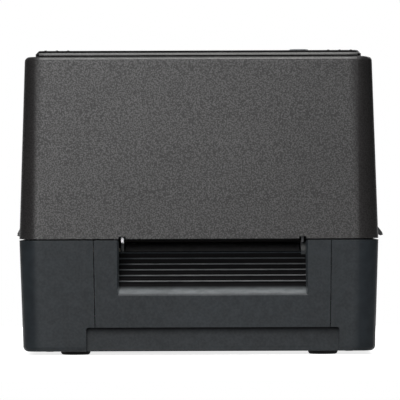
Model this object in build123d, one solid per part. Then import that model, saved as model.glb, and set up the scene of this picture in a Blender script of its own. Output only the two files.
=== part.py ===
from build123d import *
import math
import os

# Desktop label printer that prints on 4 inch label stock through an ink ribbon.
# It opens like a clamshell: the cover carries the ribbon and the print head, and the base
# carries the label roll, the rubber platen roller, the drive and the sockets.
# +X is to the right seen from the front, +Y towards the back, +Z up. Millimetres.
# The origin is the middle of the footprint, on the surface that the feet stand on.

# Print mechanism between its two side walls, and the bays beside it
mech_half = 60.0
side_wall = 2.5
left_bay = 52.0
right_bay = 36.0

# Outline, measured at the seam between base and cover
body_length = 277.0
corner_radius = 12.0
lean_angle = 1.9
wall = 2.5
edge_round = 3.0
foot_height = 2.4
floor_thick = 3.1
seam_height = 68.6
seam_gap = 0.8
cover_rise = 108.0

# Clearances: seat between fixed pieces, glide between sliding ones, run between shaft and bore
seat = 0.3
glide = 0.3
run = 0.05

# Rear hinge
hinge_radius = 4.0
hinge_pin_radius = 1.5
hinge_inset = 36.5
knuckle_length = 11.0
knuckle_gap = 0.4

# Front panel, label exit and the recess under it, all centred on the print mechanism
panel_flank = 10.6
panel_taper = 0.8
panel_gap = 0.35
slot_inset = 4.5
slot_bevel = 1.0
cheek = 2.0
lip_low = 35.4
lip_rise = 3.2
lip_run = 2.6
ramp_ahead = 10.2
ramp_over = 3.5
ramp_sheet = 2.2
rib_count = 6
rib_start = 4.8
rib_step = 3.36
rib_width = 1.3
rib_height = 1.1
nub_width = 3.8
nub_height = 5.0
recess_flank = 14.9
recess_top = 16.6
recess_depth = 4.0
recess_corner = 1.5

# Feet
foot_radius = 8.8
foot_side = 32.8
foot_end = 28.5
foot_inset = 1.0
foot_round = 1.6

# Media deck: a moulded sheet with a round cradle for the label roll
deck_drop = 4.2
deck_sheet = 2.2
deck_lead = 10.0
deck_apron = 12.0
cradle_end = 80.5
cradle_lift = 1.5
cradle_radius = 66.0
flank_lead = 11.0
flank_round = 5.0
ledge_sheet = 2.2
ledge_drop = 1.0
gear_bay_length = 38.0
boss_radius = 4.0
boss_side = 11.0
boss_end = 18.5
front_boss_side = 14.0
front_boss_end = 34.5

# Rear slot for fan-fold labels, lined by a snap-in guide
rear_slot_inset = 2.0
rear_slot_drop = 5.0
rear_slot_height = 6.0
inlet_wall = 1.4
inlet_plate_above = 1.6
inlet_plate_below = 5.0
inlet_rim = 1.4
inlet_rim_sheet = 1.0
inlet_mouth = 1.3

# Platen roller
platen_end = 28.5
platen_drop = 10.2
platen_radius = 8.0
roller_inset = 8.2
shaft_radius = 3.0
bush_radius = 4.4
bush_collar_radius = 5.5
bush_length = 5.2

# Gears share one module and one backlash
gear_module = 1.0
backlash = 0.16
addendum = 0.88
dedendum = 1.15
pressure_angle = 20.0
gear_width = 4.0
gear_plane_offset = 2.0
stud_radius = 2.0
motor_teeth = 12
idler_big_teeth = 36
idler_small_teeth = 14
platen_teeth = 28
ribbon_idler_teeth = 26
takeup_teeth = 28
rack_pinion_teeth = 12
idler_angle = -35.0
motor_angle = -25.0
ribbon_chain_angle = 80.0

# Drive motor and its plate
motor_size = 42.0
motor_gap = 3.2
motor_corner = 4.0
motor_pilot_radius = 11.0
motor_pilot_height = 1.8
motor_shaft_radius = 2.5
plate_sheet = 1.5
plate_foot = 12.0

# Label roll holders, side guides and their racks
holder_gap = 3.0
holder_thick = 6.0
holder_half_foot = 18.0
holder_half_neck = 9.0
hub_radius = 18.7
hub_height = 3.0
core_radius = 12.4
core_height = 5.0
core_bore_radius = 7.0
hub_meeting_gap = 1.5
rack_thick = 3.0
rack_bar = 4.0
rack_overlap = 8.0
rack_floor_gap = 1.8
guide_behind = 42.0
guide_length = 26.0
guide_fence = 2.0
guide_lip = 1.6
guide_height = 5.4
guide_foot = 11.0
guide_foot_sheet = 1.5
neck_thick = 3.0
neck_width = 3.6

# Roll holder lock and label sensor, both sliding in slots of the deck
lock_offset = 34.0
lock_travel = 5.0
lock_height = 2.8
sensor_offset = -26.0
sensor_behind = 19.0
sensor_travel = 36.0

# Cover top, raised panel, window and controls
top_panel_side = 9.9
top_panel_front_gap = 5.0
top_panel_rear_gap = 9.0
top_panel_height = 3.6
top_panel_bevel = 1.9
top_panel_corner = 7.0
ridge_count = 3
ridge_inset = 5.7
ridge_pitch = 6.7
ridge_end = 16.0
ridge_width = 2.0
ridge_height = 0.7
window_inset = 4.0
window_ahead = 24.0
window_depth = 112.0
window_corner = 8.0
window_rim = 3.0
window_sheet = 1.8
button_side = 46.5
button_end = 28.5
button_radius = 6.0
button_travel = 0.8
button_rise = 1.0
light_gap = 18.0
light_radius = 2.0
board_sheet = 1.6
control_drop = 5.5
control_ahead = 6.0

# Cover latches: a slider behind each side wall with a finger tab outside
latch_behind = 17.0
latch_length = 46.0
latch_sheet = 2.8
latch_lift = 1.0
latch_height = 16.0
tab_length = 26.0
tab_height = 7.2
tab_reach_left = 2.4
tab_reach_right = 3.9
latch_travel = 5.0
hook_drop = 8.7
hook_thick = 6.0
hook_nose = 3.0

# Ribbon frame in the cover
frame_sheet = 2.5
frame_lift = 1.0
frame_drop = 6.5
frame_ahead = 19.0
frame_behind = 39.0
frame_round = 5.0
front_bar_lift = 49.0
front_bar_drop = 18.0
rear_bar_height = 28.0
supply_behind = 84.0
supply_lift = 57.0
takeup_behind = 19.0
takeup_lift = 64.0
spindle_tube_radius = 8.5
spindle_fin_radius = 12.3
spindle_fin = 2.0
spindle_flange_radius = 15.0
journal_radius = 4.0
frame_boss_gap = 8.0
frame_boss_radius = 4.5
front_boss_behind = 8.0
rear_boss_behind = 100.0
rod_radius = 2.5
front_rod_ahead = 14.0
front_rod_lift = 23.0
rear_rod_behind = 66.0
rear_rod_lift = 17.0

# Print head
head_pivot_behind = 50.0
head_pivot_lift = 18.0
head_pivot_radius = 2.0
ear_sheet = 1.5
ear_inset = 5.9
ear_nose_ahead = 22.0
ear_nose_lift = 9.0
ear_nose_height = 4.0
ear_notch_width = 4.1
ear_notch_height = 1.3
hook_slot_half = 3.6
hook_slot_wall = 2.4
hook_reach = 2.5
head_gap = 0.3
ceramic_sheet = 1.4
ceramic_ahead = 8.0
ceramic_behind = 6.0
bead_radius = 1.4
bead_rise = 0.7
sink_base = 5.0
sink_fin_height = 6.0
sink_fin = 1.4
sink_fin_count = 5
sink_ahead = 3.0
sink_behind = 14.0
bracket_sheet = 1.5
spring_offset = 30.0
spring_behind = 8.0
spring_radius = 3.2
spring_wire = 0.5
spring_turn_count = 4
spring_side_count = 8
shelf_lift = 26.0
shelf_half = 8.0

# Tear bar behind the cover's front edge
tear_sheet = 1.2
tear_hang = 0.75
tear_height = 11.75
tear_pitch = 2.0
tear_depth = 0.9
tear_inset = 2.8

# Boards, sockets and switch at the back
board_lift = 8.0
network_side = 40.5
network_width = 16.0
network_height = 13.4
network_deep = 20.0
usb_side = 23.0
usb_width = 12.0
usb_height = 11.0
usb_deep = 16.0
power_side = 25.5
power_width = 9.0
power_height = 11.0
power_deep = 14.0
socket_recess = 0.6
switch_lift = 37.5
switch_width = 19.2
switch_height = 13.0
switch_deep = 15.0
rocker_half = 7.0
rocker_width = 8.6
rocker_pivot_depth = 1.6
rocker_pivot_radius = 1.0
main_board_length_ahead = 72.0
main_post_inset = 4.0
main_front_post = 20.0
main_rear_post = 12.0
cooler_start = 60.0
cooler_length = 26.0
cooler_height = 9.0
cooler_fins = 5
cooler_fin_step = 5.0
cooler_groove = 2.0
capacitor_radius = 5.0
capacitor_height = 12.0
capacitor_start = 30.0
header_start = 6.0
header_deep = 6.0
header_height = 8.0
board_part_margin = 8.0
power_board_length = 48.0
power_board_margin = 4.0
power_post_start = 8.0
power_capacitor_start = 18.0
power_capacitor_height = 14.0
control_board_front = 5.0
control_board_rear = 13.0
control_post_margin = 4.0
switch_dome_half = 3.0
switch_dome_height = 1.4

# Places worked out from the sizes above
slope = math.tan(math.radians(lean_angle))
body_width = 2 * (mech_half + side_wall) + left_bay + right_bay
mech_x = (left_bay - right_bay) / 2
body_y = -hinge_radius / 2
front_y = body_y - body_length / 2
rear_y = body_y + body_length / 2
base_top = seam_height - seam_gap / 2
cover_low = seam_height + seam_gap / 2
cover_top = cover_low + cover_rise
cover_ceiling = cover_top - wall
floor_top = foot_height + floor_thick
ledge_top = base_top - ledge_drop
ledge_low = ledge_top - ledge_sheet
wall_top = base_top - ledge_drop / 2
wall_low = floor_top + seat
panel_top_z = cover_top + top_panel_height
slot_half = mech_half - slot_inset
slot_left = mech_x - slot_half
slot_right = mech_x + slot_half
wall_out_left = mech_x - mech_half - side_wall
wall_out_right = mech_x + mech_half + side_wall
board_top = floor_top + board_lift
gear_right = wall_out_left - gear_plane_offset
gear_left = gear_right - gear_width
big_right = gear_left - 1.5
big_left = big_right - gear_width
plate_right = big_left - 2.5
plate_left = plate_right - plate_sheet
platen_y = front_y + platen_end
platen_z = base_top - platen_drop
platen_half = mech_half - roller_inset
bush_inner_half = mech_half - bush_length
panel_top_half = mech_half + panel_flank
panel_bottom_half = panel_top_half - panel_taper
lip_high = lip_low + lip_rise
ramp_top_y = platen_y - ramp_ahead
ramp_top_z = platen_z + ramp_over
recess_half = mech_half + recess_flank
foot_x = body_width / 2 - foot_side
foot_front_y = front_y + foot_end
foot_rear_y = rear_y - foot_end
deck_top = base_top - deck_drop
deck_front_y = platen_y + deck_lead
holder_rack_low = floor_top + rack_floor_gap
cradle_y = rear_y - cradle_end
cradle_z = holder_rack_low + rack_thick + cradle_lift + deck_sheet + cradle_radius
cradle_front_y = cradle_y - math.sqrt(cradle_radius**2 - (cradle_z - deck_top) ** 2)
gear_bay_end_y = platen_y + gear_bay_length
deck_boss_places = [
    (boss_side - body_width / 2, cradle_y - cradle_radius * 0.7),
    (boss_side - body_width / 2, rear_y - boss_end),
    (body_width / 2 - front_boss_side, front_y + front_boss_end),
    (body_width / 2 - boss_side, rear_y - boss_end),
]
rear_slot_half = mech_half - rear_slot_inset
rear_slot_high = deck_top - rear_slot_drop
rear_slot_low = rear_slot_high - rear_slot_height
inlet_half = rear_slot_half + inlet_wall
inlet_low = rear_slot_low - inlet_wall
inlet_high = rear_slot_high + inlet_wall
inlet_hole_half = inlet_half + seat
inlet_hole_low = inlet_low - inlet_plate_below
inlet_hole_high = inlet_high + inlet_plate_above
holder_inner = mech_half - holder_gap
holder_travel = holder_inner - holder_thick - hub_height - core_height - hub_meeting_gap
guide_travel = holder_inner - guide_foot - 2 * hub_meeting_gap
guide_y = platen_y + guide_behind
guide_rack_low = deck_top - deck_sheet - glide - rack_thick
lock_x = mech_x + lock_offset
lock_y = (guide_y + guide_length / 2 + cradle_front_y) / 2
sensor_x = mech_x + sensor_offset
sensor_y = platen_y + sensor_behind
top_panel_half = body_width / 2 - top_panel_side
ridge_xs = [top_panel_half - ridge_inset - k * ridge_pitch for k in range(ridge_count)]
window_half = mech_half - window_inset
button_x = body_width / 2 - button_side
button_y = front_y + button_end
light_x = button_x - light_gap
control_y = button_y - control_ahead
control_z = cover_ceiling - control_drop
control_post_xs = [light_x - 8.0, button_x + 7.0]
latch_y = platen_y + latch_behind
latch_low = cover_low + latch_lift
latch_high = latch_low + latch_height
tab_top = cover_low + tab_height
hook_low = base_top - hook_drop
frame_low = cover_low + frame_lift
frame_top = cover_ceiling - frame_drop
frame_front_y = platen_y - frame_ahead
supply_y = platen_y + supply_behind
supply_z = cover_low + supply_lift
frame_rear_y = supply_y + frame_behind
takeup_y = platen_y + takeup_behind
takeup_z = cover_low + takeup_lift
frame_boss_x = mech_half + frame_boss_gap
frame_boss_ys = [platen_y + front_boss_behind, platen_y + rear_boss_behind]
rod_places = [
    (platen_y - front_rod_ahead, cover_low + front_rod_lift),
    (platen_y + rear_rod_behind, cover_low + rear_rod_lift),
]
head_pivot_y = platen_y + head_pivot_behind
head_pivot_z = platen_z + head_pivot_lift
ear_half = mech_half - ear_inset
ear_inner = ear_half - ear_sheet
ceramic_front_y = platen_y - ceramic_ahead
ceramic_rear_y = platen_y + ceramic_behind
sink_front_y = ceramic_front_y - sink_ahead
sink_rear_y = platen_y + sink_behind
spring_y = platen_y + spring_behind
shelf_low = cover_low + shelf_lift
tear_low = cover_low - tear_hang
tear_high = tear_low + tear_height
network_x = network_side - body_width / 2
usb_x = usb_side - body_width / 2
power_x = body_width / 2 - power_side
switch_x = power_x
switch_z = floor_top + switch_lift


def block(x0, x1, y0, y1, z0, z1):
    """Box between two corners."""
    centre = Pos((x0 + x1) / 2, (y0 + y1) / 2, (z0 + z1) / 2)
    return centre * Box(abs(x1 - x0), abs(y1 - y0), abs(z1 - z0))


def across(face, x0, x1):
    """Extrudes a face drawn as (y, z) from x0 to x1."""
    return extrude(Plane.YZ.offset(x0) * face, x1 - x0, dir=(1, 0, 0))


def polygon(*points, radius=0.0):
    """Face with straight sides through the points, its corners rounded by radius."""
    face = make_face(Polyline(*points, close=True))
    return fillet(face.vertices(), radius) if radius else face


def rod(x0, x1, y, z, radius):
    """Round bar along X."""
    return across(Pos(y, z) * Circle(radius), x0, x1)


def post(x, y, z0, z1, radius):
    """Round bar along Z."""
    return Pos(x, y, (z0 + z1) / 2) * Cylinder(radius, abs(z1 - z0))


def stand_off(x, y, z0, z1):
    """Six-sided post that a circuit board is fixed to."""
    return extrude(Pos(x, y, z0) * RegularPolygon(boss_radius * 0.7, 6), z1 - z0)


def mirror_x(shape, at=0.0):
    """Mirror image of a shape about the plane x = at."""
    return mirror(shape, about=Plane.YZ.offset(at))


def lean_in(z):
    """How far the outer wall has moved inwards at height z."""
    return abs(z - seam_height) * slope


def leaning_block(inset, z_near, z_far):
    """Rounded block inside the outline by inset, narrowing from z_near to z_far."""
    side = inset + lean_in(z_near)
    outline = RectangleRounded(body_width - 2 * side, body_length - 2 * side, corner_radius - inset)
    return extrude(Pos(0, body_y, z_near) * outline, z_far - z_near, taper=lean_angle)


def meeting_point(a, reach_a, b, reach_b, side):
    """Point at reach_a from a and reach_b from b, on the chosen side of the line a to b."""
    gap = math.dist(a, b)
    along = (reach_a**2 - reach_b**2 + gap**2) / (2 * gap)
    off = side * math.sqrt(reach_a**2 - along**2)
    uy, uz = (b[0] - a[0]) / gap, (b[1] - a[1]) / gap
    return (a[0] + along * uy - off * uz, a[1] + along * uz + off * uy)


def beside(a, distance, angle):
    """Point at a distance from a, in the direction angle in the (y, z) plane."""
    turn = math.radians(angle)
    return (a[0] + distance * math.cos(turn), a[1] + distance * math.sin(turn))


def gear_radius(teeth):
    return gear_module * teeth / 2


def gear_face(teeth, tooth_at):
    """Spur gear outline round the origin, with a tooth centred at the angle tooth_at, in radians."""
    pitch = gear_radius(teeth)
    base = pitch * math.cos(math.radians(pressure_angle))

    def roll(radius):
        """Involute angle at a radius; below the base circle the flank is radial."""
        shade = math.acos(min(1.0, base / radius))
        return math.tan(shade) - shade

    half_pitch = (math.pi * gear_module / 2 - backlash) / (2 * pitch)
    radii = [pitch - dedendum * gear_module, pitch + addendum * gear_module]
    halves = [half_pitch + roll(pitch) - roll(r) for r in radii]
    points = []
    for k in range(teeth):
        middle = tooth_at + 2 * math.pi * k / teeth
        rising = [(r, middle - h) for r, h in zip(radii, halves)]
        falling = [(r, middle + h) for r, h in zip(reversed(radii), reversed(halves))]
        points += [(r * math.cos(a), r * math.sin(a)) for r, a in rising + falling]
    return make_face(Polyline(*points, close=True))


def mating_phase(a, teeth_a, phase_a, b, teeth_b):
    """Tooth angle of gear b that meshes with gear a, both as (y, z) centres."""
    toward = math.atan2(b[1] - a[1], b[0] - a[0])
    share = (toward - phase_a) * teeth_a / (2 * math.pi)
    return toward + math.pi - (0.5 - share) * 2 * math.pi / teeth_b


def gear(centre, teeth, phase, x0, x1, bore_radius):
    """Spur gear along X at a (y, z) centre."""
    face = gear_face(teeth, phase) - Circle(bore_radius)
    return across(Pos(*centre) * face, x0, x1)


# Gear centres and tooth angles, from the platen outwards
platen_at = (platen_y, platen_z)
idler_at = beside(platen_at, gear_radius(platen_teeth + idler_small_teeth), idler_angle)
motor_at = beside(idler_at, gear_radius(idler_big_teeth + motor_teeth), motor_angle)
takeup_at = (takeup_y, takeup_z)
ribbon_low_at = beside(platen_at, gear_radius(platen_teeth + ribbon_idler_teeth), ribbon_chain_angle)
ribbon_high_at = meeting_point(
    ribbon_low_at,
    gear_radius(2 * ribbon_idler_teeth),
    takeup_at,
    gear_radius(ribbon_idler_teeth + takeup_teeth),
    1,
)
platen_phase = 0.0
idler_small_phase = mating_phase(platen_at, platen_teeth, platen_phase, idler_at, idler_small_teeth)
idler_big_phase = 0.0
motor_phase = mating_phase(idler_at, idler_big_teeth, idler_big_phase, motor_at, motor_teeth)
ribbon_low_phase = mating_phase(
    platen_at, platen_teeth, platen_phase, ribbon_low_at, ribbon_idler_teeth
)
ribbon_high_phase = mating_phase(
    ribbon_low_at, ribbon_idler_teeth, ribbon_low_phase, ribbon_high_at, ribbon_idler_teeth
)
takeup_phase = mating_phase(
    ribbon_high_at, ribbon_idler_teeth, ribbon_high_phase, takeup_at, takeup_teeth
)


def rack_strip(x0, x1, pitch_y, side, z0, z1):
    """Toothed bar along X. Its teeth point along Y, towards side, with a gap centred on mech_x."""
    pitch = math.pi * gear_module
    root = pitch_y - side * dedendum * gear_module
    tip = pitch_y + side * addendum * gear_module
    bar = block(x0, x1, root, root - side * rack_bar, z0, z1)
    flank = math.tan(math.radians(pressure_angle))
    half_pitch = (pitch - 2 * backlash) / 4
    half_root = half_pitch + dedendum * gear_module * flank
    half_tip = half_pitch - addendum * gear_module * flank
    first = math.ceil((x0 + half_root - mech_x) / pitch - 0.5)
    last = math.floor((x1 - half_root - mech_x) / pitch - 0.5)
    points = [(x0, root - side)]
    for k in range(first, last + 1):
        middle = mech_x + (k + 0.5) * pitch
        points += [(middle - half_root, root), (middle - half_tip, tip)]
        points += [(middle + half_tip, tip), (middle + half_root, root)]
    points += [(x1, root - side)]
    teeth = extrude(Pos(0, 0, z0) * make_face(Polyline(*points, close=True)), z1 - z0)
    return bar + teeth


def rack_pinion(y, z0, z1):
    """Pinion about Z that joins two racks."""
    face = gear_face(rack_pinion_teeth, -math.pi / 2) - Circle(hinge_pin_radius + run)
    return extrude(Pos(mech_x, y, z0) * face, z1 - z0)


# Housing of the base

def front_face(z):
    """The outer front face's y at height z."""
    return front_y + lean_in(z)


def panel_prism(gap, y_back, z_low):
    """The front panel's outline as a prism through the front wall, smaller by gap all round."""
    half_top = panel_top_half - gap
    half_low = panel_bottom_half - gap
    face = polygon(
        (mech_x - half_low, z_low),
        (mech_x + half_low, z_low),
        (mech_x + half_top, base_top + gap),
        (mech_x - half_top, base_top + gap),
    )
    return extrude(Plane.XZ.offset(-y_back) * face, y_back - front_y + 1, dir=(0, -1, 0))


panel_back = front_face(recess_top) + wall + seat
recess_back = front_face(recess_top) + recess_depth
hinge_y = rear_y
hinge_offset = body_width / 2 - hinge_inset
hinge_centres = [-hinge_offset, hinge_offset]


def knuckle(x):
    """Hinge barrel on the hinge axis, still without its bore."""
    return rod(x - knuckle_length / 2, x + knuckle_length / 2, hinge_y, seam_height, hinge_radius)


def hinge_bore(x):
    """Bore for the pin through all three barrels of one hinge."""
    half = 1.5 * knuckle_length + 2 * knuckle_gap
    return rod(x - half, x + half, hinge_y, seam_height, hinge_pin_radius + run)


def knuckle_room(x, z0, z1):
    """Space that a barrel needs in the other half's wall."""
    reach = hinge_radius + knuckle_gap
    half = knuckle_length / 2 + knuckle_gap
    return block(x - half, x + half, hinge_y - reach, hinge_y + reach, z0, z1)


def outer_knuckles(x):
    """Centres of the base's two barrels, one each side of the cover's."""
    step = knuckle_length + knuckle_gap
    return [x - step, x + step]


sockets = {
    "network": {"x": network_x, "width": network_width, "height": network_height, "deep": network_deep},
    "usb": {"x": usb_x, "width": usb_width, "height": usb_height, "deep": usb_deep},
    "power": {"x": power_x, "width": power_width, "height": power_height, "deep": power_deep},
}
socket_face_y = rear_y - lean_in(board_top + usb_height / 2) - socket_recess
board_end_y = rear_y - lean_in(floor_top) - wall - seat


def socket_hole(size):
    half = size["width"] / 2 + seat
    low = board_top - seat
    high = board_top + size["height"] + seat
    return block(size["x"] - half, size["x"] + half, rear_y - 9, rear_y + 1, low, high)


def catch_lug(side):
    """Ledge on the side wall that the cover's latch hook reaches under."""
    outer_x = body_width / 2 - wall
    nose_end = latch_y + hook_nose + seat
    lug = block(hook_x0() - 0.6, outer_x + 0.6, nose_end, nose_end + 10, hook_low + 4.5, base_top - 1.0)
    return lug if side > 0 else mirror_x(lug)


def hook_x0():
    """Inner x of the latch slider and of its hook."""
    return body_width / 2 - wall - lean_in(latch_high) - glide - latch_sheet


def lower_housing():
    """Base tub with the front opening, the recess under it, hinge barrels and rear openings."""
    outer = leaning_block(0, base_top, foot_height)
    outer = fillet(outer.faces().sort_by(Axis.Z)[0].edges(), edge_round)
    tub = outer - leaning_block(wall, base_top, floor_top)
    surround = block(
        mech_x - recess_half - wall, mech_x + recess_half + wall,
        front_y, recess_back + wall, foot_height, recess_top + wall,
    )
    tub += surround & outer
    recess = block(
        mech_x - recess_half, mech_x + recess_half,
        front_y - 1, recess_back, foot_height - 1, recess_top,
    )
    tub -= fillet(recess.edges().filter_by(Axis.Y).sort_by(Axis.Z)[-2:], recess_corner)
    tub -= panel_prism(0, panel_back, recess_top)
    for x in hinge_centres:
        tub -= knuckle_room(x, seam_height - hinge_radius - knuckle_gap, base_top + 1)
        for barrel_x in outer_knuckles(x):
            tub += knuckle(barrel_x)
        tub -= hinge_bore(x)
    for size in sockets.values():
        tub -= socket_hole(size)
    tub -= block(
        switch_x - switch_width / 2 - seat, switch_x + switch_width / 2 + seat,
        rear_y - 9, rear_y + 1,
        switch_z - switch_height / 2 - seat, switch_z + switch_height / 2 + seat,
    )
    tub -= block(
        mech_x - inlet_hole_half, mech_x + inlet_hole_half,
        rear_y - 9, rear_y + 1, inlet_hole_low, inlet_hole_high,
    )
    for x, y in foot_places().values():
        tub -= post(x, y, foot_height - 1, foot_height + foot_inset, foot_radius + seat)
    for x, y in main_board_posts() + power_board_posts():
        tub += stand_off(x, y, floor_top - 1, board_top - board_sheet)
    for side in (-1, 1):
        tub += catch_lug(side)
    for k in range(9):
        y = body_y + body_length * (0.055 * k - 0.22)
        x0, x1 = wall_out_right + 5, wall_out_right + right_bay - 12
        tub -= block(x0, x1, y, y + 3, foot_height - 1, floor_top + 1)
    return tub


def foot_places():
    return {
        "foot_front_left": (-foot_x, foot_front_y),
        "foot_front_right": (foot_x, foot_front_y),
        "foot_rear_left": (-foot_x, foot_rear_y),
        "foot_rear_right": (foot_x, foot_rear_y),
    }


def foot(x, y):
    """Round rubber foot with a rounded rim, set into the base's underside."""
    height = foot_height + foot_inset
    pad = Pos(x, y, height / 2) * Cylinder(foot_radius, height)
    return fillet(pad.faces().sort_by(Axis.Z)[0].edges(), foot_round)


def on_slot_side(place):
    """Whether a point is on the slot's left or right edge, in the front face."""
    level = lip_low < place.Z < base_top
    beside_slot = abs(abs(place.X - mech_x) - slot_half) < 0.01
    return level and beside_slot and abs(place.Y - front_face(place.Z)) < 0.05


def front_panel():
    """Detachable front with the label exit: a bevelled lip and a ribbed ramp up to the platen."""
    outer = leaning_block(0, base_top, foot_height)
    skin = outer - leaning_block(wall, base_top, floor_top)
    panel = skin & panel_prism(panel_gap, panel_back - seat + 1, recess_top)
    panel -= block(slot_left, slot_right, front_y - 1, ramp_top_y, lip_low, base_top + 1)
    sides = [edge for edge in panel.edges() if on_slot_side(edge.center())]
    panel = chamfer(sides, slot_bevel)
    lip_foot = (front_face(lip_low), lip_low)
    lip_head = (front_face(lip_low) + lip_run, lip_high)
    ramp_head = (ramp_top_y, ramp_top_z)
    length = math.dist(lip_head, ramp_head)
    uy = (ramp_head[0] - lip_head[0]) / length
    uz = (ramp_head[1] - lip_head[1]) / length
    under_head = (ramp_head[0] + ramp_sheet * uz, ramp_head[1] - ramp_sheet * uy)
    under_lip = (lip_head[0] + ramp_sheet * uz, lip_head[1] - ramp_sheet * uy)
    lip_back = (lip_foot[0] + wall + 0.5, lip_low - 2.0)
    lip_under = (lip_foot[0] + 0.5, lip_low - 2.0)
    ramp = polygon(lip_foot, lip_head, ramp_head, under_head, under_lip, lip_back, lip_under)
    panel += across(ramp, slot_left - cheek, slot_right + cheek)
    side_face = polygon(
        (front_face(lip_low) + 1.0, lip_low - 1.0),
        lip_back,
        under_lip,
        under_head,
        (ramp_top_y + ramp_sheet, base_top - 0.6),
        (front_y + 1.0, base_top - 0.6),
    )
    panel += across(side_face, slot_left - cheek, slot_left)
    panel += across(side_face, slot_right, slot_right + cheek)
    for k in range(rib_count):
        place = (rib_start + k * rib_step) / uz
        foot_a, foot_b = place - rib_width / 2, place + rib_width / 2
        crest = place + rib_width / 4
        corners = [(foot_a, -0.3), (foot_b, -0.3), (crest, rib_height), (crest - 0.5, rib_height)]
        rib = polygon(*[
            (lip_head[0] + run_up * uy - out * uz, lip_head[1] + run_up * uz + out * uy)
            for run_up, out in corners
        ])
        panel += across(rib, slot_left, slot_right)
    return panel + ramp_nub()


def ramp_nub():
    """Small round-headed stop at the right end of the ramp's top edge."""
    x1 = slot_right + cheek / 2
    radius = nub_width / 2
    middle = x1 - radius
    head_z = ramp_top_z + nub_height - radius
    face = Pos(middle, head_z) * Circle(radius)
    face += Pos(middle, (head_z + ramp_top_z) / 2 - 1) * Rectangle(nub_width, head_z - ramp_top_z + 2)
    back = ramp_top_y + ramp_sheet / 2
    return extrude(Plane.XZ.offset(-back) * face, 1.5 * ramp_sheet, dir=(0, -1, 0))


# Media deck

def cradle_edge(radius, z):
    """Half width of the cradle's circle at height z."""
    return math.sqrt(radius**2 - (cradle_z - z) ** 2)


def deck_profile():
    """Section of the moulded sheet: front apron, flat deck, round cradle and rear shelf."""
    under = deck_top - deck_sheet
    outer_radius = cradle_radius + deck_sheet
    front_top = (cradle_y - cradle_edge(cradle_radius, deck_top), deck_top)
    rear_top = (cradle_y + cradle_edge(cradle_radius, deck_top), deck_top)
    front_under = (cradle_y - cradle_edge(outer_radius, under), under)
    rear_under = (cradle_y + cradle_edge(outer_radius, under), under)
    shelf_end = rear_y - wall - lean_in(deck_top) - hinge_radius + 0.5
    apron = deck_top - deck_apron
    edges = [
        Line((deck_front_y, apron), (deck_front_y, deck_top)),
        Line((deck_front_y, deck_top), front_top),
        ThreePointArc(front_top, (cradle_y, cradle_z - cradle_radius), rear_top),
        Line(rear_top, (shelf_end, deck_top)),
        Line((shelf_end, deck_top), (shelf_end, under)),
        Line((shelf_end, under), rear_under),
        ThreePointArc(rear_under, (cradle_y, cradle_z - outer_radius), front_under),
        Line(front_under, (deck_front_y + deck_sheet, under)),
        Line((deck_front_y + deck_sheet, under), (deck_front_y + deck_sheet, apron)),
        Line((deck_front_y + deck_sheet, apron), (deck_front_y, apron)),
    ]
    return make_face(Wire(edges))


deck_rear_y = rear_y - wall - lean_in(deck_top) - hinge_radius + 0.5


def media_deck():
    """Inner tray: the curved sheet between two side walls, with a ledge out to the housing each side."""
    x0, x1 = mech_x - mech_half, mech_x + mech_half
    deck = across(deck_profile(), x0, x1)
    lead = platen_y - flank_lead
    flank = polygon(
        (lead, wall_low + 20), (lead, wall_top), (deck_rear_y, wall_top),
        (deck_rear_y, wall_low), (platen_y + 16, wall_low),
        radius=flank_round,
    )
    flank += Pos((cradle_y + platen_y) / 2, wall_top - 6) * Rectangle(cradle_y - platen_y, 12)
    deck += across(flank, wall_out_left, x0)
    deck += across(flank, x1, wall_out_right)
    ledge = leaning_block(wall + seat, ledge_top, ledge_low)
    deck += ledge & block(-body_width, wall_out_left + 1, gear_bay_end_y, deck_rear_y, ledge_low, ledge_top)
    deck += ledge & block(wall_out_right - 1, body_width, lead, deck_rear_y, ledge_low, ledge_top)
    for x, y in deck_boss_places:
        deck += post(x, y, floor_top, ledge_top - 1, boss_radius)
    reach = bush_radius + run
    seat_gap = block(x0 - 5, x1 + 5, platen_y - reach, platen_y + reach, platen_z, base_top)
    deck -= seat_gap + rod(x0 - 5, x1 + 5, platen_y, platen_z, reach)
    deck -= block(
        x0, x1, cradle_y + 0.6 * cradle_radius, deck_rear_y + 5,
        inlet_low - seat, inlet_high + seat,
    )
    for side in (-1, 1):
        deck -= neck_slot(side, cradle_y, holder_travel, mech_half - 1.0)
        deck -= neck_slot(side, guide_y, guide_travel, mech_half - 1.0)
        deck -= latch_room(side)
    cradle_under = cradle_z - cradle_radius - deck_sheet / 2
    deck += post(mech_x, cradle_y, holder_rack_low - rack_floor_gap / 2, cradle_under, hinge_pin_radius)
    deck += post(mech_x, guide_y, guide_rack_low - seat, deck_top - deck_sheet / 2, hinge_pin_radius)
    deck -= block(
        lock_x - 1.6, lock_x + lock_travel + 1.6,
        lock_y - 1.3, lock_y + 1.3, deck_top - deck_sheet - 1, deck_top + 1,
    )
    deck -= block(
        sensor_x - 5 - glide, sensor_x + sensor_travel + 5 + glide,
        sensor_y - 4 - glide, sensor_y + 4 + glide, deck_top - deck_sheet - 1, deck_top + 1,
    )
    return deck


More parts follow.
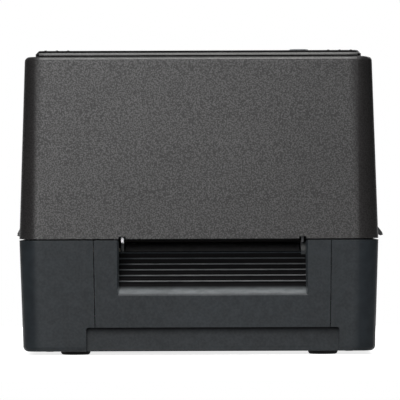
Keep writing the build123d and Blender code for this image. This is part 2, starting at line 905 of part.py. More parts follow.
def label_inlet():
    """Snap-in guide of the fan-fold slot: a rimmed plate in the rear wall, a sleeve into the deck."""
    outside = leaning_block(0, base_top, foot_height)
    shell = leaning_block(-inlet_rim_sheet, base_top, foot_height) - leaning_block(wall, base_top, floor_top)
    half = inlet_hole_half - seat
    plate = shell & block(
        mech_x - half, mech_x + half, body_y, rear_y + 5, inlet_hole_low + seat, inlet_hole_high - seat,
    )
    rim = (shell - outside) & block(
        mech_x - inlet_hole_half - inlet_rim, mech_x + inlet_hole_half + inlet_rim,
        body_y, rear_y + 5, inlet_hole_low - inlet_rim, inlet_hole_high + inlet_rim,
    )
    sleeve = block(
        mech_x - inlet_half, mech_x + inlet_half,
        cradle_y + 0.6 * cradle_radius, rear_y - 1, inlet_low, inlet_high,
    )
    sleeve -= rod(mech_x - body_width, mech_x + body_width, cradle_y, cradle_z, cradle_radius)
    guide = plate + rim + sleeve
    guide -= block(
        mech_x - rear_slot_half, mech_x + rear_slot_half,
        cradle_y, rear_y + 5, rear_slot_low, rear_slot_high,
    )
    back = rear_y + inlet_rim_sheet
    flare = polygon(
        (back - 2 * inlet_mouth, rear_slot_low), (back, rear_slot_low - inlet_mouth),
        (back, rear_slot_high + inlet_mouth), (back - 2 * inlet_mouth, rear_slot_high),
    )
    return guide - across(flare, mech_x - rear_slot_half, mech_x + rear_slot_half)


def neck_y(side, middle):
    """Middle of a rack's neck: outside the pinion, on the side of the rack's bar."""
    pinion_radius = gear_radius(rack_pinion_teeth)
    return middle + side * (pinion_radius + dedendum * gear_module + rack_bar / 2)


def neck_slot(side, middle, travel, half):
    """Slot through the deck for the neck that joins a slide to its rack."""
    y = neck_y(side, middle)
    inner = mech_x + side * (half - travel - holder_thick - 1)
    outer = mech_x + side * half
    reach = neck_width / 2 + glide
    return block(inner, outer, y - reach, y + reach, floor_top + 2, deck_top + 1)


def latch_room(side):
    """Hole in the deck's ledge that the cover's latch hook dips through."""
    inner, outer = hook_x0() - 1.0, body_width / 2
    room = block(
        inner, outer,
        latch_y - hook_thick - latch_travel - 1.5, latch_y + hook_nose + 12,
        ledge_low - 1, ledge_top + 1,
    )
    return room if side > 0 else mirror_x(room)


def media_holder(side):
    """Roll holder: a paddle that slides on the cradle, with a stepped hub for the roll's core."""
    x_in = holder_inner - holder_thick
    arm = polygon(
        (cradle_y - holder_half_foot, cradle_z - cradle_radius - 6),
        (cradle_y + holder_half_foot, cradle_z - cradle_radius - 6),
        (cradle_y + holder_half_neck, cradle_z + hub_radius / 2),
        (cradle_y - holder_half_neck, cradle_z + hub_radius / 2),
    )
    arm += Pos(cradle_y, cradle_z) * Circle(hub_radius)
    arm &= Pos(cradle_y, cradle_z) * Circle(cradle_radius - glide)
    body = across(arm, x_in, holder_inner)
    body += rod(x_in - hub_height, x_in, cradle_y, cradle_z, hub_radius - 2.5)
    body += rod(x_in - hub_height - core_height, x_in - hub_height, cradle_y, cradle_z, core_radius)
    body -= rod(x_in - 20, x_in + holder_thick / 2, cradle_y, cradle_z, core_bore_radius)
    body = Pos(mech_x, 0, 0) * body
    if side < 0:
        body = mirror_x(body, mech_x)
    x_mid = mech_x + side * (holder_inner - holder_thick / 2)
    y = neck_y(side, cradle_y)
    body += block(
        x_mid - neck_thick / 2, x_mid + neck_thick / 2, y - neck_width / 2, y + neck_width / 2,
        holder_rack_low, cradle_z - cradle_radius + 3,
    )
    rack_end = mech_x - side * rack_overlap
    pitch_y = cradle_y + side * gear_radius(rack_pinion_teeth)
    x0, x1 = sorted((x_mid + side * neck_thick / 2, rack_end))
    body += rack_strip(x0, x1, pitch_y, -side, holder_rack_low, holder_rack_low + rack_thick)
    return body


def label_guide(side):
    """Side guide for the label strip: a fence on a flat foot, with its rack under the deck."""
    inner = holder_inner
    low = deck_top + glide
    high = low + guide_height
    foot_top = low + guide_foot_sheet
    lip_end = inner - guide_fence - guide_lip
    fence = polygon(
        (inner - guide_foot, low), (inner, low), (inner, high), (lip_end, high), (lip_end, high - 1.4),
        (inner - guide_fence, high - 1.4), (inner - guide_fence, foot_top), (inner - guide_foot, foot_top),
    )
    plane = Plane.XZ.offset(-(guide_y - guide_length / 2))
    body = extrude(plane * fence, guide_length, dir=(0, 1, 0))
    body = Pos(mech_x, 0, 0) * body
    if side < 0:
        body = mirror_x(body, mech_x)
    x_mid = mech_x + side * (inner - holder_thick / 2)
    y = neck_y(side, guide_y)
    body += block(
        x_mid - neck_thick / 2, x_mid + neck_thick / 2, y - neck_width / 2, y + neck_width / 2,
        guide_rack_low, low + 1,
    )
    rack_end = mech_x - side * rack_overlap
    pitch_y = guide_y + side * gear_radius(rack_pinion_teeth)
    x0, x1 = sorted((x_mid + side * neck_thick / 2, rack_end))
    body += rack_strip(x0, x1, pitch_y, -side, guide_rack_low, guide_rack_low + rack_thick)
    return body


def holder_lock():
    """Thumb slide that holds the roll holders: a knob, a stem through the deck and a keeper under it."""
    knob_low = deck_top + glide
    knob = block(lock_x - 6, lock_x + 6, lock_y - 4, lock_y + 4, knob_low, knob_low + lock_height)
    knob = fillet(knob.faces().sort_by(Axis.Z)[-1].edges(), 0.8)
    keeper_high = deck_top - deck_sheet - glide
    stem = block(lock_x - 1.2, lock_x + 1.2, lock_y - 1, lock_y + 1, keeper_high - 1, knob_low + 1)
    keeper = block(lock_x - 5, lock_x + 5, lock_y - 3, lock_y + 3, keeper_high - 1.6, keeper_high)
    return knob + stem + keeper


def sensor_carriage():
    """Label sensor that slides in the deck's slot, flush with the deck, hung on a wider foot."""
    keeper_high = deck_top - deck_sheet - glide
    eye = block(sensor_x - 5, sensor_x + 5, sensor_y - 4, sensor_y + 4, keeper_high - 1, deck_top - 0.1)
    eye -= post(sensor_x, sensor_y, deck_top - 1.2, deck_top + 1, 1.6)
    keeper = block(sensor_x - 6, sensor_x + 6, sensor_y - 5.2, sensor_y + 5.5, keeper_high - 3, keeper_high)
    return eye + keeper


# Platen and drive

def platen_shaft():
    return rod(gear_left - 0.6, mech_x + mech_half + side_wall + 0.6, platen_y, platen_z, shaft_radius)


def platen_roller():
    sleeve = rod(mech_x - platen_half, mech_x + platen_half, platen_y, platen_z, platen_radius)
    return sleeve - rod(mech_x - platen_half, mech_x + platen_half, platen_y, platen_z, shaft_radius)


def platen_bush(side):
    """Bearing with a collar inside the side wall and a barrel in the wall's open seat."""
    collar_end = mech_half - seat
    body = rod(bush_inner_half, collar_end, platen_y, platen_z, bush_collar_radius)
    body += rod(collar_end, mech_half + side_wall, platen_y, platen_z, bush_radius)
    body -= rod(0, mech_half * 2, platen_y, platen_z, shaft_radius + run)
    body = Pos(mech_x, 0, 0) * body
    return body if side > 0 else mirror_x(body, mech_x)


def platen_gear():
    return gear(platen_at, platen_teeth, platen_phase, gear_left, gear_right, shaft_radius)


def idler_gear():
    """Compound gear: its wide small wheel turns the platen, its big wheel meets the motor."""
    bore = stud_radius + run
    small = gear(idler_at, idler_small_teeth, idler_small_phase, big_right, gear_right + 0.5, bore)
    big = gear(idler_at, idler_big_teeth, idler_big_phase, big_left, big_right, bore)
    return small + big


def motor_pinion():
    return gear(motor_at, motor_teeth, motor_phase, big_left, big_right, motor_shaft_radius)


def motor_shaft():
    return rod(plate_left, big_right + 0.6, *motor_at, motor_shaft_radius)


def drive_motor():
    """Square stepping motor with cut corners, a waist and a round pilot through the plate."""
    outline = Pos(*motor_at) * Rectangle(motor_size, motor_size)
    outer_wall_x = wall + lean_in(motor_at[1] - motor_size / 2) - body_width / 2
    left_end = outer_wall_x + motor_gap
    end_cap = (plate_left - left_end) / 4
    body = across(chamfer(outline.vertices(), motor_corner), left_end, left_end + end_cap)
    body += across(chamfer(outline.vertices(), 2 * motor_corner), left_end + end_cap, plate_left - end_cap)
    body += across(chamfer(outline.vertices(), motor_corner), plate_left - end_cap, plate_left)
    pilot = rod(plate_left, plate_left + motor_pilot_height, *motor_at, motor_pilot_radius)
    body += pilot
    return body - rod(plate_left - 3, plate_right + 5, *motor_at, motor_shaft_radius + run)


def gear_plate():
    """Bent steel plate: it carries the motor and the idler's stud, and its foot lies on the floor."""
    half = motor_size / 2 + 1
    outline = polygon(
        (motor_at[0] - half, floor_top), (motor_at[0] + half, floor_top),
        (motor_at[0] + half, motor_at[1] + half - 6), (motor_at[0] - half + 12, motor_at[1] + half + 2),
        (idler_at[0] - 6, idler_at[1] + 6), (idler_at[0] - 6, floor_top + 12),
        radius=4.0,
    )
    outline += Pos(motor_at[0], floor_top + 4) * Rectangle(2 * half - 2, 8)
    outline -= Pos(*motor_at) * Circle(motor_pilot_radius + seat)
    plate = across(outline, plate_left, plate_right)
    foot_y = motor_at[0]
    plate += block(
        plate_left - plate_foot, plate_right, foot_y - half + 2, foot_y + half - 2,
        floor_top, floor_top + plate_sheet,
    )
    plate += rod(plate_left, gear_right + 1.2, *idler_at, stud_radius)
    return plate


# Boards, sockets and switch

main_board_left = usb_x - usb_width / 2 - 0.5
main_board_right = network_x + network_width / 2
main_board_front = platen_y + main_board_length_ahead
power_board_left = power_x - power_width / 2 - power_board_margin
power_board_right = power_x + power_width / 2 + power_board_margin
power_board_front = board_end_y - power_board_length


def main_board_posts():
    """Middles of the main board's four posts."""
    left, right = main_board_left + main_post_inset, main_board_right - main_post_inset
    front, rear = main_board_front + main_front_post, socket_face_y - network_deep - main_rear_post
    return [(left, front), (right, front), (left, rear), (right, rear)]


def main_board():
    """Main circuit board on its posts, with a finned cooler, two capacitors and a plug header."""
    x0, x1, y0 = main_board_left, main_board_right, main_board_front
    left, right = x0 + board_part_margin, x1 - board_part_margin
    cooler_y = y0 + cooler_start
    board = block(x0, x1, y0, board_end_y, board_top - board_sheet, board_top)
    board += block(left, right, cooler_y, cooler_y + cooler_length, board_top, board_top + cooler_height)
    for k in range(cooler_fins):
        y = cooler_y + cooler_groove + k * cooler_fin_step
        low, high = board_top + cooler_groove, board_top + cooler_height + 1
        board -= block(left - 1, right + 1, y, y + cooler_groove, low, high)
    for x in (left, right):
        board += post(x, y0 + capacitor_start, board_top, board_top + capacitor_height, capacitor_radius)
    header_y = y0 + header_start
    board += block(left, right, header_y, header_y + header_deep, board_top, board_top + header_height)
    return board


def power_board_posts():
    """Middles of the power board's two posts."""
    y = power_board_front + power_post_start
    return [(power_board_left + main_post_inset, y), (power_board_right - main_post_inset, y)]


def power_board():
    """Power circuit board behind the power socket, with its capacitor."""
    x0, x1, y0 = power_board_left, power_board_right, power_board_front
    board = block(x0, x1, y0, board_end_y, board_top - board_sheet, board_top)
    y = y0 + power_capacitor_start
    return board + post(power_x, y, board_top, board_top + power_capacitor_height, capacitor_radius)


def socket_body(name):
    """Housing of a rear socket, standing on its board."""
    size = sockets[name]
    x, half = size["x"], size["width"] / 2
    top = board_top + size["height"]
    return block(x - half, x + half, socket_face_y - size["deep"], socket_face_y, board_top, top)


def network_socket():
    x = network_x
    low = board_top + 2.6
    body = socket_body("network")
    body -= block(x - 5.9, x + 5.9, socket_face_y - 13, socket_face_y + 1, low, low + 6.8)
    return body - block(x - 3.1, x + 3.1, socket_face_y - 13, socket_face_y + 1, low + 6.7, low + 9.2)


def usb_socket():
    x, middle = usb_x, board_top + usb_height / 2
    body = socket_body("usb")
    mouth = block(x - 4.25, x + 4.25, socket_face_y - 9, socket_face_y + 1, middle - 3.9, middle + 3.9)
    tongue = block(x - 2.8, x + 2.8, socket_face_y - 10, socket_face_y - 1.5, middle - 1.6, middle + 1.6)
    return body - mouth + tongue


def power_socket():
    x, middle = power_x, board_top + power_height / 2
    body = socket_body("power")
    face = Plane.XZ.offset(-(socket_face_y - 10))
    body -= extrude(face * Pos(x, middle) * Circle(3.2), 11, dir=(0, 1, 0))
    return body + extrude(face * Pos(x, middle) * Circle(1.0), 9, dir=(0, 1, 0))


switch_face_y = rear_y - lean_in(switch_z)
rocker_y = switch_face_y - rocker_pivot_depth


def switch_body():
    """Rocker switch's frame, pushed into the rear wall, with a well for the rocker."""
    bezel = block(
        switch_x - switch_width / 2 - 1, switch_x + switch_width / 2 + 1,
        switch_face_y + seat, switch_face_y + 1.6,
        switch_z - switch_height / 2 - 1, switch_z + switch_height / 2 + 1,
    )
    bezel = fillet(bezel.faces().sort_by(Axis.Y)[-1].edges(), 0.6)
    frame = block(
        switch_x - switch_width / 2, switch_x + switch_width / 2,
        switch_face_y - switch_deep, switch_face_y + 1.0,
        switch_z - switch_height / 2, switch_z + switch_height / 2,
    )
    half_x, half_z = rocker_half + 0.6, rocker_width / 2 + seat
    well = block(
        switch_x - half_x, switch_x + half_x, switch_face_y - 6, switch_face_y + 3,
        switch_z - half_z, switch_z + half_z,
    )
    reach = half_z + 1.1
    bore = post(switch_x, rocker_y, switch_z - reach, switch_z + reach, rocker_pivot_radius + run)
    return frame + bezel - well - bore


def switch_rocker():
    """Rocker that tips about its two upright pivots; drawn level, between its two stops."""
    half = rocker_half
    face = polygon(
        (switch_x - half, switch_face_y + 1.4), (switch_x, switch_face_y + 0.6),
        (switch_x + half, switch_face_y + 1.4), (switch_x + half, rocker_y),
        (switch_x + 2.6, rocker_y - 3), (switch_x - 2.6, rocker_y - 3),
        (switch_x - half, rocker_y),
    )
    low, high = switch_z - rocker_width / 2, switch_z + rocker_width / 2
    rocker = extrude(Pos(0, 0, low) * face, rocker_width, dir=(0, 0, 1))
    return rocker + post(switch_x, rocker_y, low - 1, high + 1, rocker_pivot_radius)


# Cover

def tab_notch(side):
    """Notch in the cover's side wall that the finger tab slides in."""
    half = tab_length / 2
    notch = block(
        body_width / 2 - wall - 4, body_width / 2 + 1,
        latch_y - half - latch_travel - glide, latch_y + half + glide,
        cover_low - 1, tab_top + glide,
    )
    return notch if side > 0 else mirror_x(notch)


def latch_rail(side):
    """Rail on the cover's inner side that keeps the slider against the wall."""
    x_in = hook_x0() - glide
    low = latch_high + glide
    y0, y1 = latch_y - latch_length / 2 - latch_travel, latch_y + latch_length / 2
    rail = block(x_in - 1.6, body_width / 2 - wall, y0, y1, low, low + 2.0)
    rail += block(x_in - 1.6, x_in, y0, y1, low - 4.0, low + 1.0)
    return rail if side > 0 else mirror_x(rail)


def window_face(grow):
    """Rounded outline of the window, larger by grow all round."""
    width, depth = 2 * (window_half + grow), window_depth + 2 * grow
    return Pos(0, cradle_y - window_ahead) * RectangleRounded(width, depth, window_corner + grow)


def cover_opening(grow, z0, z1):
    return extrude(Pos(0, 0, z0) * window_face(grow), z1 - z0)


def top_cover():
    """Clamshell cover: leaning walls, round top edge, window hole, hinge barrels and frame bosses."""
    outer = leaning_block(0, cover_low, cover_top)
    outer = fillet(outer.faces().sort_by(Axis.Z)[-1].edges(), edge_round)
    shell = outer - leaning_block(wall, cover_low, cover_ceiling)
    for side in (-1, 1):
        shell += latch_rail(side) & outer
        shell -= tab_notch(side)
    for x in hinge_centres:
        for barrel_x in outer_knuckles(x):
            shell -= knuckle_room(barrel_x, cover_low - 1, seam_height + hinge_radius + knuckle_gap)
        shell += knuckle(x)
        shell -= hinge_bore(x)
    for side in (-1, 1):
        for y in frame_boss_ys:
            shell += post(mech_x + side * frame_boss_x, y, frame_top, cover_ceiling + 1, frame_boss_radius)
        shell -= ear_notch(side)
    for x in control_post_xs:
        shell += stand_off(x, control_y, control_z + board_sheet, cover_ceiling + 1)
    shell -= cover_opening(-window_rim, cover_ceiling - 1, cover_top + 1)
    shell -= post(button_x, button_y, cover_ceiling - 1, cover_top + 1, button_radius + glide)
    shell -= post(light_x, button_y, cover_ceiling - 1, cover_top + 1, light_radius + seat)
    return shell


def ear_notch(side):
    """Notch in the cover's lower front edge, in front of the nose of one of the head bracket's ears."""
    x = mech_x + side * (ear_half - ear_sheet / 2)
    half = ear_notch_width / 2
    high = cover_low + ear_notch_height
    return block(x - half, x + half, front_y - 1, front_y + wall + 1, cover_low - 1, high)


def control_board():
    """Small board behind the feed button, on two posts of the cover."""
    x0, x1 = control_post_xs[0] - control_post_margin, control_post_xs[1] + control_post_margin
    y0, y1 = control_y - control_board_front, control_y + control_board_rear
    board = block(x0, x1, y0, y1, control_z, control_z + board_sheet)
    half = switch_dome_half
    top = control_z + board_sheet + switch_dome_height
    return board + block(
        button_x - half, button_x + half, button_y - half, button_y + half, control_z + board_sheet / 2, top,
    )


panel_front_y = front_face(cover_top) + top_panel_front_gap
panel_rear_y = rear_y - lean_in(cover_top) - top_panel_rear_gap


def top_panel():
    """Raised panel on the cover with bevelled edges, three ridges at each end and the window's seat."""
    y0, y1 = panel_front_y, panel_rear_y
    outline = Pos(0, (y0 + y1) / 2) * RectangleRounded(2 * top_panel_half, y1 - y0, top_panel_corner)
    panel = extrude(Pos(0, 0, cover_top) * outline, top_panel_height)
    panel = chamfer(panel.faces().sort_by(Axis.Z)[-1].edges(), top_panel_bevel)
    for x in ridge_xs:
        for side in (-1, 1):
            panel += ridge(side * x)
    panel -= cover_opening(-window_rim, cover_top - 1, panel_top_z + 2)
    panel -= cover_opening(seat, panel_top_z - window_sheet, panel_top_z + 2)
    panel -= post(button_x, button_y, cover_top - 1, panel_top_z + 1, button_radius + glide)
    panel -= post(light_x, button_y, cover_top - 1, panel_top_z + 1, light_radius + seat)
    return panel


def ridge(x):
    """Low ridge along the raised panel."""
    bar = block(
        x - ridge_width / 2, x + ridge_width / 2, panel_front_y + ridge_end, panel_rear_y - ridge_end,
        panel_top_z - 1, panel_top_z + ridge_height,
    )
    return chamfer(bar.faces().sort_by(Axis.Z)[-1].edges(), ridge_height * 0.7)


def view_window():
    """Clear pane, flush with the raised panel."""
    return cover_opening(0, panel_top_z - window_sheet, panel_top_z - 0.1)


def status_light():
    """Light guide from the control board up to the panel's face."""
    return post(light_x, button_y, control_z + board_sheet + 0.2, panel_top_z + 0.2, light_radius)


def feed_button():
    """Round button with a domed top and a stem down to its switch."""
    cap = post(button_x, button_y, cover_top - 1, panel_top_z + button_rise, button_radius)
    cap = chamfer(cap.faces().sort_by(Axis.Z)[-1].edges(), 0.7)
    stem_low = control_z + board_sheet + switch_dome_height + button_travel + 0.1
    return cap + extrude(Pos(button_x, button_y, stem_low) * RegularPolygon(1.8, 6), cover_top - stem_low)


def latch(side):
    """Cover latch: slider, flared finger tab outside the wall, and the hook into the base."""
    x_in = hook_x0()
    x_out = x_in + latch_sheet
    tab_reach = tab_reach_right if side > 0 else tab_reach_left
    skin = body_width / 2 - lean_in(tab_top)
    plate = block(x_in, x_out, latch_y - latch_length / 2, latch_y + latch_length / 2, latch_low, latch_high)
    neck_low = tab_top - 3.2
    tip = skin + tab_reach
    tab = polygon(
        (x_out - 1, neck_low), (x_out - 1, tab_top), (skin - 0.1, tab_top),
        (tip, cover_low + 2.0), (tip - 1.5, cover_low + 1.4), (skin - 1.0, neck_low),
    )
    plane = Plane.XZ.offset(-(latch_y - tab_length / 2))
    plate += extrude(plane * tab, tab_length, dir=(0, 1, 0))
    back, nose = latch_y - hook_thick, latch_y + hook_nose
    hook = polygon(
        (back, latch_low + 2), (back, hook_low), (nose, hook_low),
        (nose, hook_low + 2.2), (latch_y, hook_low + 4.0), (latch_y, latch_low + 2),
    )
    plate += across(hook, x_in, x_out)
    return plate if side > 0 else mirror_x(plate)


# Ribbon frame

def frame_plate_face():
    """Outline of one side plate, with bores for the spindles, rods and the head's pivot."""
    face = polygon(
        (frame_front_y, frame_low + 16), (frame_front_y, frame_top), (frame_rear_y, frame_top),
        (frame_rear_y, supply_z + 4), (head_pivot_y + 22, frame_low), (platen_y - 6, frame_low),
        radius=frame_round,
    )
    middle_y, top_length = (frame_front_y + frame_rear_y) / 2, frame_rear_y - frame_front_y - 4
    face += Pos(middle_y, frame_top - frame_round) * Rectangle(top_length, 2 * frame_round)
    for y, z in [(supply_y, supply_z), takeup_at]:
        face -= Pos(y, z) * Circle(journal_radius + run)
    for y, z in rod_places:
        face -= Pos(y, z) * Circle(rod_radius)
    return face - Pos(head_pivot_y, head_pivot_z) * Circle(head_pivot_radius)


def ribbon_frame():
    """Carriage in the cover: two side plates, front and rear bars, a spring shelf and top flanges."""
    x0, x1 = mech_x - mech_half, mech_x + mech_half
    plate = frame_plate_face()
    frame = across(plate, x0 - frame_sheet, x0) + across(plate, x1, x1 + frame_sheet)
    bar_low, bar_high = cover_low + front_bar_lift, frame_top - front_bar_drop
    frame += block(x0, x1, frame_front_y, frame_front_y + frame_sheet, bar_low, bar_high)
    frame += block(x0, x1, frame_rear_y - frame_sheet, frame_rear_y, frame_top - rear_bar_height, frame_top)
    frame += block(x0, x1, spring_y - shelf_half, spring_y + shelf_half, shelf_low, shelf_low + frame_sheet)
    flange_end = frame_boss_x + frame_boss_radius + 1
    y0, y1 = frame_boss_ys[0] - 12, frame_boss_ys[1] + 12
    for side in (-1, 1):
        xa, xb = mech_x + side * mech_half, mech_x + side * flange_end
        frame += block(xa, xb, y0, y1, frame_top - frame_sheet, frame_top)
    for centre in (ribbon_low_at, ribbon_high_at):
        frame += rod(gear_left - 0.6, x0 - 1, *centre, stud_radius)
    return frame


def spindle(centre, left_end):
    """Ribbon spindle: a finned tube with a flange, turning on journals in the side plates."""
    x0, x1 = mech_x - mech_half + 1.0, mech_x + mech_half - 1.0
    cross = Circle(spindle_tube_radius)
    fin = Pos(spindle_fin_radius / 2, 0) * Rectangle(spindle_fin_radius, spindle_fin)
    for k in range(4):
        cross += Rot(0, 0, 90 * k) * fin
    body = across(Pos(*centre) * cross, x0, x1)
    body += rod(x0, x0 + 2.5, *centre, spindle_flange_radius)
    return body + rod(left_end, x1 + frame_sheet + 1.4, *centre, journal_radius)


def ribbon_gear(centre, teeth, phase, bore):
    return gear(centre, teeth, phase, gear_left, gear_right, bore + run)


def guide_rods():
    ends = (mech_x - mech_half - frame_sheet, mech_x + mech_half + frame_sheet)
    return Compound([rod(*ends, y, z, rod_radius) for y, z in rod_places])


def head_pivot_rod():
    ends = (mech_x - mech_half - frame_sheet, mech_x + mech_half + frame_sheet)
    return rod(*ends, head_pivot_y, head_pivot_z, head_pivot_radius)


# Print head

ceramic_low = platen_z + platen_radius + head_gap + bead_rise
sink_low = ceramic_low + ceramic_sheet
bracket_low = sink_low + sink_base + sink_fin_height + seat


def head_bracket():
    """Bent steel bracket: a top plate between two ears with a pivot, a hook over the shaft and a nose."""
    top = bracket_low + bracket_sheet
    leg_half = hook_slot_half + hook_slot_wall
    ear = polygon(
        (platen_y - leg_half, platen_z - hook_reach), (platen_y - leg_half, top), (head_pivot_y - 8, top),
        (head_pivot_y + 5, head_pivot_z + 4), (head_pivot_y + 5, head_pivot_z - 4.5),
        (platen_y + leg_half + 4, head_pivot_z - 6), (platen_y + leg_half, platen_z - hook_reach),
    )
    nose_y = platen_y - (ear_nose_ahead + leg_half) / 2
    nose_z = platen_z + ear_nose_lift + ear_nose_height / 2
    ear += Pos(nose_y, nose_z) * Rectangle(ear_nose_ahead - leg_half + 1, ear_nose_height)
    ear -= Pos(platen_y, platen_z) * Circle(hook_slot_half)
    ear -= Pos(platen_y, platen_z - 6) * Rectangle(2 * hook_slot_half, 12)
    ear -= Pos(head_pivot_y, head_pivot_z) * Circle(head_pivot_radius + run)
    x0, x1 = mech_x - ear_half, mech_x + ear_half
    body = across(ear, x0, x0 + ear_sheet) + across(ear, x1 - ear_sheet, x1)
    return body + block(x0, x1, platen_y - leg_half, head_pivot_y - 10, bracket_low, top)


def heat_sink():
    """Aluminium block on the bracket's underside with fins along the head."""
    half = ear_inner - seat
    fin_top = sink_low + sink_base + sink_fin_height
    sink = block(mech_x - half, mech_x + half, sink_front_y, sink_rear_y, sink_low, sink_low + sink_base)
    span = sink_rear_y - sink_front_y - sink_fin
    for k in range(sink_fin_count):
        y = sink_front_y + span * k / (sink_fin_count - 1)
        sink += block(mech_x - half, mech_x + half, y, y + sink_fin, sink_low + 1, fin_top)
    return sink


def thermal_head():
    """Ceramic strip with the raised glaze bead that prints, just above the platen."""
    half = ear_inner - seat
    strip = block(mech_x - half, mech_x + half, ceramic_front_y, ceramic_rear_y, ceramic_low, sink_low)
    bead_z = platen_z + platen_radius + head_gap + bead_radius
    bead = rod(mech_x - half, mech_x + half, platen_y, bead_z, bead_radius)
    reach = 2 * bead_radius
    lower = block(
        mech_x - half - 1, mech_x + half + 1, platen_y - reach, platen_y + reach,
        bead_z - bead_radius, ceramic_low + bead_rise,
    )
    return strip + (bead & lower)


def head_springs():
    """Two compression springs between the frame's shelf and the bracket."""
    low = bracket_low + bracket_sheet + spring_wire
    rise = shelf_low - spring_wire - low
    steps = spring_turn_count * spring_side_count
    turn = 2 * math.pi / spring_side_count
    path = Polyline(*[
        (spring_radius * math.cos(k * turn), spring_radius * math.sin(k * turn), rise * k / steps)
        for k in range(steps + 1)
    ])
    section = Plane(origin=path @ 0, z_dir=path % 0) * Rectangle(2 * spring_wire, 2 * spring_wire)
    coil = sweep(section, path=path, transition=Transition.RIGHT)
    return Compound([Pos(mech_x + side * spring_offset, spring_y, low) * coil for side in (-1, 1)])


def tear_bar():
    """Steel strip behind the cover's front edge; its lower edge is cut into teeth."""
    half = ear_half - tear_inset
    back = front_face(tear_high) + wall + seat
    count = int(2 * half / tear_pitch)
    x0 = mech_x - count * tear_pitch / 2
    points = [(x0, tear_high)]
    for k in range(count):
        points += [(x0 + k * tear_pitch, tear_low + tear_depth), (x0 + (k + 0.5) * tear_pitch, tear_low)]
    points += [(x0 + count * tear_pitch, tear_low + tear_depth), (x0 + count * tear_pitch, tear_high)]
    face = make_face(Polyline(*points, close=True))
    return extrude(Plane.XZ.offset(-back) * face, tear_sheet, dir=(0, 1, 0))


def hinge_pin(x):
    half = 1.5 * knuckle_length + knuckle_gap
    return rod(x - half, x + half, hinge_y, seam_height, hinge_pin_radius)


def build():
    """Every piece by its name."""
    pieces = {
        "lower_housing": lower_housing(),
        "front_panel": front_panel(),
        "media_deck": media_deck(),
        "label_inlet": label_inlet(),
        "main_board": main_board(),
        "power_board": power_board(),
        "network_socket": network_socket(),
        "usb_socket": usb_socket(),
        "power_socket": power_socket(),
        "switch_body": switch_body(),
        "switch_rocker": switch_rocker(),
        "drive_motor": drive_motor(),
        "gear_plate": gear_plate(),
        "motor_shaft": motor_shaft(),
        "motor_pinion": motor_pinion(),
        "idler_gear": idler_gear(),
        "platen_shaft": platen_shaft(),
        "platen_roller": platen_roller(),
        "platen_gear": platen_gear(),
        "platen_bush_left": platen_bush(-1),
        "platen_bush_right": platen_bush(1),
        "media_holder_left": media_holder(-1),
        "media_holder_right": media_holder(1),
        "holder_pinion": rack_pinion(cradle_y, holder_rack_low, holder_rack_low + rack_thick),
        "label_guide_left": label_guide(-1),
        "label_guide_right": label_guide(1),
        "guide_pinion": rack_pinion(guide_y, guide_rack_low, guide_rack_low + rack_thick),
        "holder_lock": holder_lock(),
        "sensor_carriage": sensor_carriage(),
        "hinge_pin_left": hinge_pin(-hinge_offset),
        "hinge_pin_right": hinge_pin(hinge_offset),
        "top_cover": top_cover(),
        "top_panel": top_panel(),
        "view_window": view_window(),
        "status_light": status_light(),
        "feed_button": feed_button(),
        "control_board": control_board(),
        "latch_left": latch(-1),
        "latch_right": latch(1),
        "ribbon_frame": ribbon_frame(),
        "guide_rods": guide_rods(),
        "head_pivot_rod": head_pivot_rod(),
        "head_bracket": head_bracket(),
        "heat_sink": heat_sink(),
        "thermal_head": thermal_head(),
        "head_springs": head_springs(),
        "tear_bar": tear_bar(),
        "supply_spindle": spindle((supply_y, supply_z), mech_x - mech_half - frame_sheet - 1.4),
        "takeup_spindle": spindle(takeup_at, gear_left - 0.6),
        "takeup_gear": ribbon_gear(takeup_at, takeup_teeth, takeup_phase, journal_radius),
        "ribbon_idler_low": ribbon_gear(ribbon_low_at, ribbon_idler_teeth, ribbon_low_phase, stud_radius),
        "ribbon_idler_high": ribbon_gear(ribbon_high_at, ribbon_idler_teeth, ribbon_high_phase, stud_radius),
    }
    for name, (x, y) in foot_places().items():
        pieces[name] = foot(x, y)
    return pieces


if __name__ == "__main__":
    os.makedirs("parts", exist_ok=True)
    for name, piece in build().items():
        export_step(piece, f"parts/{name}.step")
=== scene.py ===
import math

import bpy
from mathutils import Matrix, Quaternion, Vector


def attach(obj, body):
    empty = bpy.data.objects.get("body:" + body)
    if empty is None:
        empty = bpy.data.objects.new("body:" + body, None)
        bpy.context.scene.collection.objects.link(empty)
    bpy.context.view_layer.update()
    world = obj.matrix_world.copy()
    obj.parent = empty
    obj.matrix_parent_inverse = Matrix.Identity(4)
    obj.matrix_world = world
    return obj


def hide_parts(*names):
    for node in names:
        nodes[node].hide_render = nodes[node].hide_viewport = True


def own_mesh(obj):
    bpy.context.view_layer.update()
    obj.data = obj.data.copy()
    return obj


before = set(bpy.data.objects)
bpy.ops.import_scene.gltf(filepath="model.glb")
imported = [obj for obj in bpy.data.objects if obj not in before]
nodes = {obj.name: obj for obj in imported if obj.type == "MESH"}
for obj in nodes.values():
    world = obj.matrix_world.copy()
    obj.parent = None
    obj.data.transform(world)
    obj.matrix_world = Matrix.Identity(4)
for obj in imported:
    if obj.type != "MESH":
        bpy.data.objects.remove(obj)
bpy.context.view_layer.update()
scene = bpy.context.scene
scene.view_settings.view_transform = "Standard"
MM = 0.001

